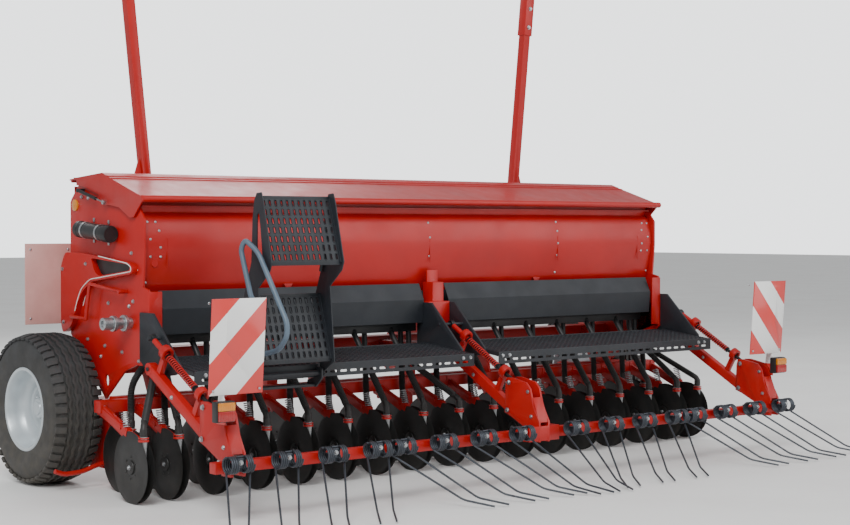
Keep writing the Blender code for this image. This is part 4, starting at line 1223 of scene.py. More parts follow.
class Hopper(Assembly):
    """The seed box with its lid, plates and struts."""

    def build(self) -> None:
        """Builds every piece of the hopper."""
        self.shell()
        self.lid()
        self.plates()
        self.fittings()

    def shell(self) -> None:
        """Builds the folded rear panel, the front and the floor of the box."""
        outer = [
            (0.292, 1.437), (0.290, 1.400), (0.302, 1.366), (0.286, 1.356), (0.268, 1.340), (0.257, 1.308),
            (0.245, 1.256), (0.242, 1.196), (0.246, 1.160), (0.252, 1.120), (0.266, 1.050), (0.276, 1.006),
            (0.300, 0.947), (0.870, 0.947), (0.930, 1.100), (0.941, 1.500), (0.937, 1.500), (0.926, 1.102),
            (0.867, 0.951), (0.303, 0.951), (0.280, 1.007), (0.270, 1.051), (0.256, 1.121), (0.250, 1.160),
            (0.246, 1.196), (0.249, 1.256), (0.261, 1.307), (0.271, 1.338), (0.290, 1.353), (0.306, 1.366),
            (0.294, 1.400), (0.296, 1.437),
        ]
        shell = Shape().plate(outer, -PLATE_IN + 0.001, PLATE_IN - 0.001, 0.0)
        for x in (-1.66, 0.0, 0.98, 1.66):
            shell.block((x - 0.0015, 0.2415, 1.10), (x + 0.0015, 0.246, 1.24), 0.0005)
        shell.block((-PLATE_IN, 0.262, 1.392), (PLATE_IN, 0.292, 1.398), 0.002)
        shell.finish("hopper_panel", Body.FRAME, RED, Slot.RED, ("hopper_shell",))
        clips = Shape()
        for x in (-0.93, 0.83):
            clips.plate(
                [(x - 0.028, 1.004), (x + 0.028, 1.004), (x, 0.958)], 0.268, 0.276, 0.0015, across="Y"
            )
        clips.finish("panel_clips", Body.FRAME, RED, Slot.RED)

    def lid(self) -> None:
        """Builds the lid's bands, its rolled lip and the plugs in the lip's ends."""
        refined("hopper_lid", RED, Body.LID, 0.0012)
        half = LID_HALF
        band = [
            (0.551, 1.5445), (0.584, 1.5555), (0.606, 1.5625), (0.894, 1.5425), (0.894, 1.5395),
            (0.606, 1.5595), (0.551, 1.5415),
        ]
        lid = Shape().plate(band, -half, half, 0.0008)
        for y, z in ((0.551, 1.5445), (0.516, 1.5335)):
            lid.sweep([(-half, y, z - 0.001), (half, y, z - 0.001)], 0.0026, 8)
        lid.sweep([(-half, 0.894, 1.541), (half, 0.894, 1.541)], 0.004, 8)
        lip = [
            (0.0, 0.0), (0.0, 0.0135), (0.0015, 0.0165), (3.632, 0.0165), (3.6335, 0.0135), (3.6335, 0.0)
        ]
        lid.lathe(lip, (-1.8168, *LIP_AT), (1, 0, 0), 28)
        lid.finish("lid_bands", Body.LID, RED, Slot.RED)
        plugs = Shape()
        for x in (-1.8215, 1.8165):
            plugs.disc(0.0125, (0, 0.005), (x, *LIP_AT))
        plugs.finish("lip_plugs", Body.LID, PLASTIC, Slot.PLASTIC)

    def plates(self) -> None:
        """Builds the side plates with their stripes, bolts and reflectors."""
        for side in (-1, 1):
            refined(f"side_plate_{side_name(side)}", RED, soften=0.002)
        out = PLATE_OUT + 0.0008
        lines = Shape()
        lower = [(0.829, 0.897), (0.780, 0.986), (0.663, 1.049), (0.283, 1.087)]
        for side in (-1, 1):
            for path in (lower, [(0.953, 1.001), (0.954, 0.884)]):
                points = rounded([(side * out, *p) for p in path], 0.03)
                lines.sweep(points, 0.0022, 6)
        lines.finish("plate_lines", Body.FRAME, WHITE)
        places = [
            (0.838, 1.446), (0.769, 1.440), (0.342, 1.168), (0.873, 1.031), (0.328, 0.935), (0.569, 0.919),
            (0.367, 0.910), (0.780, 0.730), (0.605, 0.706), (0.647, 0.650), (0.435, 0.684), (0.275, 0.649),
        ]
        spots = [
            Spot((side * PLATE_OUT, *p), (side, 0, 0), (0, 1, 0)) for side in (-1, 1) for p in places
        ]
        self.trees.bolts(spots, "plate_bolts")
        eyes = Shape()
        for side in (-1, 1):
            dome = [(0.0, 0.030), (0.006, 0.029), (0.009, 0.022), (0.009, 0.0)]
            eyes.lathe([(side * a, r) for a, r in dome], (side * PLATE_OUT, 0.905, 1.405), (1, 0, 0), 28)
        eyes.finish("side_reflectors", Body.FRAME, AMBER, Slot.AMBER)

    def fittings(self) -> None:
        """Builds the struts, the panel's bolts and the covers behind the metering units."""
        for side in (-1, 1):
            word = side_name(side)
            refined(f"lid_strut_barrel_{word}", PLASTIC, Body.BARRELS)
            refined(f"lid_strut_rod_{word}", ZINC, Body.RODS, 0.0005)
            refined(f"metering_cover_{word}", DARK, corner=8.0)
        rows = [
            (-1.762, 1.318), (-1.717, 1.318), (-1.703, 1.276), (-1.754, 1.235), (-1.699, 1.195),
            (-1.752, 1.151), (-1.696, 1.150), (-1.767, 1.026),
        ]
        near = [(x, self.panel_y(z), z) for x, z in rows]
        near += [(0.0, self.panel_y(z), z) for z in (1.318, 1.237, 1.135, 1.039)]
        near += [(0.98, self.panel_y(z), z) for z in (1.324, 1.271, 1.200, 1.130, 1.030)]
        near += [(-x, y, z) for x, y, z in near if x < -1.5]
        spots = [Spot(p, (0, -1, 0), (1, 0, 0), (0.8, 0.8, 0.8)) for p in near]
        self.trees.domes(spots, "panel_bolts")
        plug = Shape().lathe(
            [
                (0.0, 0.0), (0.0, 0.020), (0.006, 0.018), (0.006, 0.0)
            ], (-1.727, 0.2555, 1.119), (0, -1, 0), 28
        )
        plug.finish("panel_plug", Body.FRAME, RED, Slot.RED)
        refined("metering_housing", DARK)

    def panel_y(self, height: float) -> float:
        """Finds the rear panel's surface at a height.

        Args:
            height: Z above ground.

        Returns:
            Y of the surface.
        """
        points = [
            (1.006, 0.276), (1.050, 0.266), (1.120, 0.252), (1.160, 0.246), (1.196, 0.242), (1.256, 0.245),
            (1.308, 0.257), (1.340, 0.268),
        ]
        for (low, y_low), (high, y_high) in zip(points, points[1:]):
            if height <= high:
                return y_low + (y_high - y_low) * (height - low) / (high - low)
        return points[-1][1]


class Drive(Assembly):
    """What is fixed to the left plate: cover, crank, tube and hub."""

    def build(self) -> None:
        """Builds the drive's pieces."""
        self.cover()
        self.tube()
        self.hub()
        refined("crank_handle", RED, soften=0.0015, corner=50.0)

    def cover(self) -> None:
        """Builds the cover with the recess in its wing, a black sheet on the recess floor as painted shade,
        and the white line round that.
        """
        outline = rounded_loop(
            [
                (0.985, 0.752), (1.006, 0.800), (1.006, 1.090), (0.960, 1.165), (0.800, 1.165),
                (0.320, 1.125), (0.285, 1.105), (0.285, 1.070), (0.690, 1.022), (0.780, 0.970),
                (0.840, 0.900), (0.865, 0.845), (0.900, 0.790),
            ],
            0.022,
        )
        recess = rounded_loop(
            [
                (0.690, 1.140), (0.320, 1.113), (0.303, 1.096), (0.320, 1.084), (0.610, 1.052),
                (0.655, 1.075),
            ],
            0.018,
        )
        near, far = PLATE_OUT + 0.0003, PLATE_OUT + 0.0323
        cover = Shape().plate(outline, near, far, 0.003, (recess,))
        cover.mirrored(-1)
        cover.finish("drive_cover_shell", Body.FRAME, RED, Slot.RED, ("drive_cover_left",))
        # Painted shade: the recess floor is a black plastic sheet that stands in for the shade on the red
        # paint inside the wing's recess.
        floor = Shape().plate(
            rounded_loop([(0.700, 1.146), (0.300, 1.116), (0.295, 1.078), (0.620, 1.044)], 0.01), near,
            near + 0.004, 0.0,
        )
        floor.mirrored(-1).finish("drive_cover_recess", Body.FRAME, PLASTIC, Slot.DARK)
        line = [
            (0.610, 1.150), (0.330, 1.119), (0.294, 1.100), (0.296, 1.080), (0.330, 1.076), (0.620, 1.042),
            (0.700, 1.034), (0.790, 0.985), (0.835, 0.915), (0.856, 0.870),
        ]
        stripe = Shape().sweep(rounded([(-far - 0.0004, *p) for p in line], 0.03), 0.0026, 6)
        stripe.finish("drive_cover_line", Body.FRAME, WHITE)
        places = ((0.985, 1.080), (0.975, 0.810), (0.740, 1.110))
        spots = [Spot((-far, *place), (-1, 0, 0), (0, 1, 0)) for place in places]
        self.trees.bolts(spots, "cover_bolts")

    def tube(self) -> None:
        """Builds the document tube with its caps and the two clamps that hold it."""
        first, last = Vector(CASE_FRONT), Vector(CASE_REAR)
        axis, long = last - first, (last - first).length
        profile = [
            (0.0, 0.0), (0.0, 0.037), (0.004, 0.042), (0.030, 0.0425), (0.032, CASE_R),
            (long - 0.060, CASE_R), (long - 0.058, 0.0425), (long - 0.006, 0.0425), (long, 0.039),
            (long, 0.034), (long - 0.003, 0.033), (long - 0.003, 0.0),
        ]
        Shape().lathe(profile, first, axis, 48).finish(
            "document_tube_body", Body.FRAME, PLASTIC, Slot.PLASTIC, ("document_tube",)
        )
        clamps = Shape()
        for share in (0.24, 0.70):
            place = first.lerp(last, share)
            clamps.lathe(
                [(-0.007, 0.0402), (-0.007, 0.0422), (0.007, 0.0422), (0.007, 0.0402)], place, axis, 48,
                closed=True,
            )
            for z in (-0.052, 0.052):
                clamps.block(
                    (-PLATE_OUT - 0.005, place.y - 0.008, place.z + z - 0.010),
                    (-PLATE_OUT - 0.0004, place.y + 0.008, place.z + z + 0.010), 0.001,
                )
        clamps.finish("document_tube_clamps", Body.FRAME, ZINC, Slot.STEEL)

    def hub(self) -> None:
        """Builds the turned coupling with its grooves and bright face."""
        steps = [(0.026, 0.030), (0.040, 0.016), (0.028, 0.040), (0.038, 0.020), (0.030, 0.050)]
        profile, along = [(0.0, 0.0)], 0.0
        for radius, length in steps:
            profile += [
                (along, radius - 0.0015), (along + 0.0015, radius), (along + length - 0.0015, radius),
                (along + length, radius - 0.0015),
            ]
            along += length
        profile += [(along, 0.016), (along - 0.012, 0.014), (along - 0.012, 0.0)]
        hub = Shape().lathe(profile, (-PLATE_OUT - 0.0003, *HUB_AT), (-1, 0, 0), 48)
        hub.finish("drive_hub_body", Body.FRAME, ZINC, Slot.STEEL, ("drive_hub",))


@dataclass
class Wheels(Assembly):
    """Tyres, rims and the arms with their scrapers."""

    lugs: int = 46
    waves: int = 40

    def build(self) -> None:
        """Builds both wheels."""
        for side, body in ((-1, Body.WHEEL_LEFT), (1, Body.WHEEL_RIGHT)):
            self.tyre(side, body)
            self.rim(side, body)
            self.arm(side)

    def tyre(self, side: int, body: Body) -> None:
        """Builds a carcass, its wavy ribs and the blocks on both shoulders.

        Args:
            side: -1 for the left.
            body: Body of the wheel.
        """
        half = [
            (0.030, RIM_R + 0.0005), (0.014, 0.212), (0.008, 0.222), (0.004, 0.245), (0.0, 0.275),
            (0.0, 0.300), (0.004, 0.322), (0.012, 0.342), (0.024, 0.357), (0.040, 0.364), (0.080, 0.3665),
            (0.131, 0.367),
        ]
        profile = half + [(TYRE_WIDE - a, r) for a, r in reversed(half[:-1])]
        tyre = Shape().lathe(profile, (TYRE_IN, WHEEL_Y, TYRE_R), (1, 0, 0), 96, closed=True)
        for middle, wide in ((0.075, 0.013), (0.112, 0.015), (0.150, 0.015), (0.187, 0.013)):
            self.rib(tyre, middle, wide)
        tyre.mirrored(side)
        word = side_name(side)
        tyre.finish(f"tyre_carcass_{word}", body, RUBBER, Slot.RUBBER, (f"tyre_{word}",))
        lug = Shape().block((-0.016, -0.028, -0.016), (0.016, 0.028, 0.0), 0.004)
        spots = []
        for row in (0, 1):
            for k in range(self.lugs):
                angle = 2 * math.pi * (k + 0.5 * row) / self.lugs
                up = Vector((0, math.cos(angle), math.sin(angle)))
                ahead = Vector((0, -math.sin(angle), math.cos(angle)))
                tilt = 0.30 if row else -0.30
                facing = (up + Vector((side * tilt, 0, 0))).normalized()
                x = side * (TYRE_IN + (0.030 if not row else TYRE_WIDE - 0.030))
                spots.append(Spot(Vector((x, WHEEL_Y, TYRE_R)) + up * 0.3705, facing, ahead))
        self.trees.copies(lug, spots, f"tyre_blocks_{word}", body, RUBBER, 0.0, Slot.RUBBER)

    def rib(self, tyre: Shape, middle: float, wide: float) -> None:
        """Adds one rib round the tread.

        Args:
            tyre: Shape that takes it.
            middle: Distance from the tyre's inner face.
            wide: Width of the rib.
        """
        part = bmesh.new()
        rings = []
        count = self.waves * 4
        for k in range(count):
            angle = 2 * math.pi * k / count
            along = TYRE_IN + middle + 0.004 * math.sin(self.waves * angle)
            ring = []
            for push, radius in ((-0.5, 0.362), (-0.42, 0.3795), (0.42, 0.3795), (0.5, 0.362)):
                y, z = WHEEL_Y + radius * math.cos(angle), TYRE_R + radius * math.sin(angle)
                ring.append(part.verts.new((along + push * wide, y, z)))
            rings.append(ring)
        for index in range(count):
            low, high = rings[index - 1], rings[index]
            for k in range(4):
                part.faces.new((low[k - 1], low[k], high[k], high[k - 1]))
        tyre.absorb(part, 0.0)

    def rim(self, side: int, body: Body) -> None:
        """Builds the dished rim with its rings and hub cap.

        Args:
            side: -1 for the left.
            body: Body of the wheel.
        """
        wide = TYRE_WIDE
        outer = [
            (wide - 0.020, RIM_R + 0.004), (wide - 0.014, RIM_R + 0.006), (wide - 0.011, RIM_R + 0.002),
            (wide - 0.012, 0.196), (wide - 0.020, 0.190), (0.200, 0.184), (0.168, 0.176), (0.150, 0.160),
            (0.144, 0.140), (0.146, 0.120), (0.143, 0.116), (0.141, 0.096), (0.144, 0.090), (0.144, 0.060),
            (0.150, 0.054), (0.168, 0.052), (0.172, 0.048), (0.172, 0.034), (0.178, 0.030), (0.178, 0.0),
        ]
        inner = [
            (0.090, 0.0), (0.090, 0.055), (0.100, 0.150), (0.060, 0.190), (0.012, 0.196),
            (0.014, RIM_R + 0.006), (0.030, RIM_R),
        ]
        rim = Shape().lathe(
            inner + [(wide - 0.03, RIM_R)] + outer, (TYRE_IN, WHEEL_Y, TYRE_R), (1, 0, 0), 80
        )
        rim.mirrored(side)
        word = side_name(side)
        rim.finish(f"rim_dish_{word}", body, RIM, Slot.RIM, (f"rim_{word}",))
        spots = [
            Spot(
                (
                    side * (TYRE_IN + 0.1425), WHEEL_Y + WHEEL_BOLT_RING * math.cos(a),
                    TYRE_R + WHEEL_BOLT_RING * math.sin(a),
                ),
                (side, 0, 0), (0, 1, 0),
            )
            for a in (2 * math.pi * (k + 0.5) / 5 for k in range(5))
        ]
        self.trees.bolts(spots, f"wheel_bolts_{word}", body)

    def arm(self, side: int) -> None:
        """Builds the arm behind the tyre with its scraper and spring.

        Args:
            side: -1 for the left.
        """
        low, high = PLATE_IN - 0.0853, PLATE_IN - 0.0003
        middle = (low + high) / 2
        arm = Shape().block((low, 0.600, 0.09), (high, 0.800, 0.435), 0.005)
        arm.block((low + 0.012, 0.74, TYRE_R - 0.04), (high - 0.008, WHEEL_Y + 0.045, TYRE_R + 0.04), 0.004)
        arm.lathe(
            [(0, 0), (0, 0.036), (0.09, 0.036), (0.09, 0.029), (0.20, 0.029), (0.20, 0)],
            (low + 0.03, WHEEL_Y, TYRE_R), (1, 0, 0), 32,
        )
        for z in (0.255, 0.401):
            arm.block((middle - 0.022, 0.560, z), (middle + 0.022, 0.61, z + 0.008), 0.002)
        scraper = [
            (middle, 0.640, 0.125), (1.826, 0.640, 0.113), (1.908, 0.640, 0.087), (2.008, 0.640, 0.082),
            (2.059, 0.640, 0.101),
        ]
        arm.sweep(rounded(scraper, 0.03), 0.012, 14)
        arm.mirrored(side)
        word = side_name(side)
        arm.finish(f"wheel_arm_box_{word}", Body.FRAME, RED, Slot.RED, (f"wheel_arm_{word}",))
        foot = Spot((side * middle, 0.582, 0.264))
        self.trees.coils(
            [foot], f"arm_spring_{word}", Body.FRAME, ZINC, 0.017, 0.0035, 0.136, 11.0, Slot.STEEL
        )
        spots = [
            Spot((side * (low - 0.0003), 0.66 + 0.08 * k, 0.16 + 0.02 * k), (-side, 0, 0), (0, 1, 0))
            for k in (0, 1)
        ]
        spots += [Spot((side * middle, 0.600, z), (0, -1, 0)) for z in (0.14, 0.20)]
        self.trees.bolts(spots, f"arm_bolts_{word}")


class Coulters(Assembly):
    """Both rows of disc coulters with their tubes."""

    def build(self) -> None:
        """Builds the rows and the tubes."""
        for rear in (True, False):
            self.row(rear)
        for side in (-1, 1):
            self.tubes(side)

    def row(self, rear: bool) -> None:
        """Builds one row: rail, arms, discs, boots, springs and bolts.

        Args:
            rear: True for the rear row.
        """
        word = "rear" if rear else "front"
        row_y, rail_y = (0.0, REAR_RAIL_Y) if rear else (ROW_SHIFT, FRONT_RAIL_Y)
        places = row_places(rear)
        end = places[-1] + 0.022 if rear else PLATE_OUT + 0.004
        half, top = RAIL / 2, RAIL_LOW + RAIL
        rail = Shape().block((-end, rail_y - half, RAIL_LOW), (end, rail_y + half, RAIL_LOW + RAIL), 0.004)
        beam_rear, beam_low, beam_top = self.beam_face()
        first = ROW_STEP / 4 + (0.0 if rear else 0.020)
        for spot in (first + ROW_STEP * 6, first + ROW_STEP * 2):
            hanger = [
                (rail_y - half + 0.003, top - 0.010),
                (FRONT_RAIL_Y, top + 0.006) if rear else (rail_y + half - 0.003, top - 0.010),
                (beam_rear - 0.0003, beam_low + 0.012), (beam_rear - 0.0003, beam_top - 0.012),
                (rail_y - 0.010, beam_low),
            ]
            for x in (-spot, spot):
                rail.plate(hanger, x - 0.007, x + 0.007, 0.0015)
        rail.finish(f"coulter_rail_{word}", Body.FRAME, RED, Slot.RED, (f"coulters_{word}",))
        self.arms(word, places, row_y, rail_y)
        disc = Shape().lathe(
            [
                (-0.002, 0.0), (-0.002, 0.045), (0.001, 0.060), (0.001, DISC_R - 0.010), (-0.0005, DISC_R),
                (-0.003, DISC_R - 0.010), (-0.003, 0.060), (-0.006, 0.045), (-0.006, 0.0),
            ],
            (0, 0, 0), (0, 0, 1), 64,
        )
        disc.lathe(
            [(0.0, 0.0), (0.0, 0.034), (0.004, 0.032), (0.006, 0.020), (0.006, 0.0)], (0, 0, 0), (0, 0, 1),
            32,
        )
        for k in range(6):
            angle = math.pi * k / 3
            middle = (HUB_BOLT_RING * math.cos(angle), HUB_BOLT_RING * math.sin(angle), 0.0)
            disc.lathe([(0.0, 0.0), (0.0, 0.006), (0.0025, 0.005), (0.0025, 0.0)], middle, (0, 0, 1), 10)
        spots = []
        bolts = []
        for x in places:
            for side in (-1, 1):
                facing = Vector((side, DISC_TOE, 0.0)).normalized()
                at = Vector((x + side * 0.0125, row_y + DISC_Y, DISC_R))
                spots.append(Spot(at, facing, (0, 1, 0)))
                bolts.append(Spot(at + facing * 0.006, facing, (0, 1, 0), (1.1, 1.1, 1.0)))
        self.trees.copies(disc, spots, f"coulter_discs_{word}", Body.FRAME, DISC, 1.0, Slot.BLACK)
        bolts += [Spot((x, rail_y - half, RAIL_LOW + 0.03), (0, -1, 0)) for x in places]
        self.trees.bolts(bolts, f"coulter_bolts_{word}")
        springs = [Spot((x, row_y + 0.150, 0.352), (0, 0.35, 1.0)) for x in places]
        self.trees.coils(
            springs, f"coulter_springs_{word}", Body.FRAME, ZINC, 0.0155, 0.0030, 0.075, 7.0, Slot.STEEL
        )

    def beam_face(self) -> tuple[float, float, float]:
        """Reads where the main beam's rear face is.

        Returns:
            Y of the rear face, and the beam's lowest and highest Z, in the drill's frame.
        """
        low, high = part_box("main_beam")
        return low.y - SHIFT.y, low.z, high.z

    def arms(self, word: str, places: Sequence[float], row_y: float, rail_y: float) -> None:
        """Builds the arms and the cast boots of one row.

        Args:
            word: Name of the row.
            places: X of the coulters.
            row_y: Y of the row's boots.
            rail_y: Y of the row's rail.
        """
        span = rail_y - row_y
        arm = Shape().plate(
            [
                (span + 0.026, RAIL_LOW + 0.010), (span - 0.026, RAIL_LOW + 0.040), (0.110, 0.335),
                (0.024, BOOT_TOP), (0.018, 0.235), (DISC_Y - 0.026, DISC_R - 0.026),
                (DISC_Y + 0.026, DISC_R - 0.026), (0.086, 0.268), (span - 0.020, RAIL_LOW - 0.010),
                (span + 0.020, RAIL_LOW - 0.010),
            ],
            -0.0095, 0.0095, 0.002,
        )
        arm.bar((0, 0.135, 0.330), (0, span - 0.012, RAIL_LOW + 0.010), 0.030, 0.040, 0.004)
        arm.block((-0.016, 0.004, 0.286), (0.016, 0.030, 0.310), 0.003)
        arm.disc(0.0255, (0, 0.010), (0, 0, 0.3000), (0, 0, 1), 20)
        arm.disc(0.0255, (0, 0.005), (0, 0, 0.3145), (0, 0, 1), 20)
        arm.sweep([(-0.021, 0.190, 0.352), (0.021, 0.190, 0.352)], 0.011, 16)
        arm.bar((0, 0.240, 0.372), (0, 0.140, 0.344), 0.034, 0.012, 0.003)
        face = span - RAIL / 2
        arm.block(
            (-0.020, face - 0.004, RAIL_LOW + 0.004), (0.020, face + 0.002, RAIL_LOW + RAIL - 0.004), 0.002
        )
        boot = Shape().sweep(
            [
                (0, 0.000, 0.3235), (0, 0.000, 0.300), (0, 0.001, 0.250), (0, 0.006, 0.160),
                (0, 0.012, 0.090), (0, 0.020, 0.060),
            ],
            [0.0225, 0.0215, 0.0195, 0.0160, 0.0135, 0.0080], 16, 0.72,
        )
        spots = [Spot((x, row_y, 0.0)) for x in places]
        self.trees.copies(arm, spots, f"coulter_arms_{word}", Body.FRAME, RED, 0.0, Slot.RED)
        self.trees.copies(boot, spots, f"seed_boots_{word}", Body.FRAME, CAST, 0.0, Slot.STEEL)

    def path(self, x: float, rear: bool) -> list[tuple[float, float, float]]:
        """Lists the corners of one seed tube of the right half.

        Args:
            x: Place of its coulter.
            rear: True for the rear row.

        Returns:
            Points from the outlet rail down to the boot.
        """
        row_y = 0.0 if rear else ROW_SHIFT
        boot = BOOT_TOP + 0.0123
        foot, neck = (x, row_y, boot), (x, row_y, boot + 0.045)
        top_y, top = (0.300 if rear else 0.350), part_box("seed_tubes_left")[1].z - 0.012
        end = METER_END - TUBE_R - 0.002
        if x == 0:
            return [(0.110, top_y, top), (0.110, 0.285, 0.560), neck, foot]
        if x <= end:
            return [(x, top_y, top), neck, foot]
        if rear:
            out = end if x > PLATE_OUT else end - 2.4 * TUBE_R
            return [(out, top_y, top), (out, top_y, 0.640 if out < end else 0.600), neck, foot]
        return [(end, top_y, top), (end, top_y, 0.660), (x, row_y + 0.005, 0.530), neck, foot]

    def tubes(self, side: int) -> None:
        """Builds the outlet rail of one half and its bellows tubes.

        Args:
            side: -1 for the left.
        """
        word = side_name(side)
        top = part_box(f"seed_tubes_{word}")[1].z
        tubes = Shape().block(
            (MID_EDGE - 0.012, 0.272, top - 0.045), (METER_END, 0.378, top - 0.001), 0.004
        )
        for rear in (True, False):
            for x in row_places(rear):
                if x > 0 or (x == 0 and side < 0):
                    self.tube(tubes, self.path(x, rear))
        tubes.mirrored(side)
        tubes.finish(f"tubes_{word}", Body.FRAME, PLASTIC, Slot.PLASTIC, (f"seed_tubes_{word}",))

    def tube(self, tubes: Shape, corners: Sequence[Point3]) -> None:
        """Adds one tube: smooth ends with cuffs, and a ringed middle that bends.

        Args:
            tubes: Shape that takes it.
            corners: Corners of the tube's path.
        """
        line = rounded(corners, 0.060, 6)
        total = sum((b - a).length for a, b in zip(line, line[1:]))
        step = 0.0036
        points: list[Vector] = []
        radii: list[float] = []
        walked, carry = 0.0, 0.0
        for a, b in zip(line, line[1:]):
            length = (b - a).length
            while carry <= length:
                points.append(a.lerp(b, carry / length))
                place = walked + carry
                ringed = 0.30 * total < place < total - 0.075
                radii.append(TUBE_R - 0.0042 + (0.0036 if ringed and len(points) % 2 else 0.0))
                if place < 0.035 or 0.28 * total < place < 0.30 * total:
                    radii[-1] = TUBE_R - 0.0002
                if place > total - 0.070:
                    radii[-1] = TUBE_R - (0.0005 if place > total - 0.036 else 0.0030)
                carry += step
            carry -= length
            walked += length
        tubes.sweep(points, radii, 14)


@dataclass
class Platform(Assembly):
    """The pierced deck at the rear with its lip."""

    cell: Point2 = (0.0364, 0.0310)

    def build(self) -> None:
        """Builds both halves and their bolts."""
        for side in (-1, 1):
            self.half(side)
        spots = []
        for side in (-1, 1):
            for x in (0.115, 0.165, 1.690, 1.740):
                spots.append(Spot((side * x, PLATFORM_REAR, PLATFORM_TOP - 0.020), (0, -1, 0)))
        self.trees.bolts(spots, "platform_bolts")

    def half(self, side: int) -> None:
        """Builds the frame, the deck and the slotted lip of one half.

        Args:
            side: -1 for the left.
        """
        word = side_name(side)
        inner, outer = MID_EDGE, PLATE_OUT - 0.0005
        slope = PLATFORM_TILT
        ahead = Vector((0.0, math.cos(slope), math.sin(slope)))
        above = Vector((0.0, -math.sin(slope), math.cos(slope)))
        corner = Vector((0.0, PLATFORM_REAR, PLATFORM_TOP))
        wide, long = self.cell
        across = int((outer - inner - 0.012) / wide)
        along = int((PLATFORM_DEEP - 0.010) / long)
        start = inner + (outer - inner - across * wide) / 2
        spots = []
        for i in range(across):
            for j in range(along):
                place = corner + ahead * (0.005 + long * (j + 0.5)) - above * 0.0022
                place.x = side * (start + wide * (i + 0.5))
                spots.append(Spot(place, above, (1, 0, 0)))
        tile = pierced_tile(wide, long, (0.0105, 0.0088), 0.0035, 0.0020)
        self.trees.copies(tile, spots, f"deck_{word}", Body.FRAME, DARK, 0.0, Slot.DARK)
        steel = Shape()
        holes = []
        slot = (
            (-0.018, -0.006), (0.018, -0.006), (0.022, 0), (0.018, 0.006), (-0.018, 0.006), (-0.022, 0),
        )
        count = 27
        pitch = (outer - inner - 0.06) / count
        for k in range(count):
            x = inner + 0.03 + pitch * (k + 0.5)
            holes.append([(x + a, PLATFORM_TOP - 0.042 + b) for a, b in slot])
        lip = [
            (inner, PLATFORM_TOP - 0.065), (outer, PLATFORM_TOP - 0.065), (outer, PLATFORM_TOP - 0.003),
            (inner, PLATFORM_TOP - 0.003),
        ]
        steel.plate(lip, PLATFORM_REAR, PLATFORM_REAR + 0.004, 0.0, holes, "Y")
        steel.sweep(
            [
                (inner, PLATFORM_REAR + 0.003, PLATFORM_TOP - 0.003),
                (outer, PLATFORM_REAR + 0.003, PLATFORM_TOP - 0.003),
            ],
            0.003, 12,
        )
        far = corner + ahead * (PLATFORM_DEEP - 0.004) - above * 0.024
        steel.bar((inner, *far.yz), (outer, *far.yz), 0.006, 0.042, 0.001)
        for x in (
            inner + 0.003, outer - 0.003, inner + (outer - inner) / 2, start - 0.002,
            start + across * wide + 0.002,
        ):
            near = corner + ahead * 0.006 - above * 0.014
            steel.bar(
                (x, *near.yz), (x, *(corner + ahead * (PLATFORM_DEEP - 0.006) - above * 0.014).yz), 0.006,
                0.022, 0.001,
            )
        if side < 0:
            self.cheeks(steel)
        steel.mirrored(side)
        steel.finish(f"platform_frame_{word}", Body.FRAME, DARK, Slot.DARK, (f"platform_{word}",))

    def cheeks(self, shape: Shape) -> None:
        """Adds the cheeks that carry the steps, at the right before the half is turned over.

        Args:
            shape: Shape that takes them.
        """
        y, z = STEPS_AXIS
        inner = 2 * STEPS_HALF - 0.028
        for x in (-STEPS_X - inner / 2, -STEPS_X + inner / 2 - 0.010):
            outline = [
                (y - 0.028, z - 0.024), (y - 0.022, z - 0.029), (PLATFORM_REAR + 0.003, 0.520),
                (y + 0.09, 0.520), (y + 0.09, 0.550), (PLATFORM_REAR + 0.003, 0.569),
                (PLATFORM_REAR + 0.003, z + 0.03), (y - 0.020, z + 0.029), (y - 0.028, z + 0.020),
            ]
            ring = [
                (y + 0.0146 * math.cos(2 * math.pi * k / 20), z + 0.0146 * math.sin(2 * math.pi * k / 20))
                for k in range(20)
            ]
            shape.plate(outline, x, x + 0.010, 0.0, (ring,))
        shape.block(
            (-STEPS_X - inner / 2, PLATFORM_REAR + 0.004, 0.522), (-STEPS_X + inner / 2, y + 0.088, 0.534),
            0.001,
        )


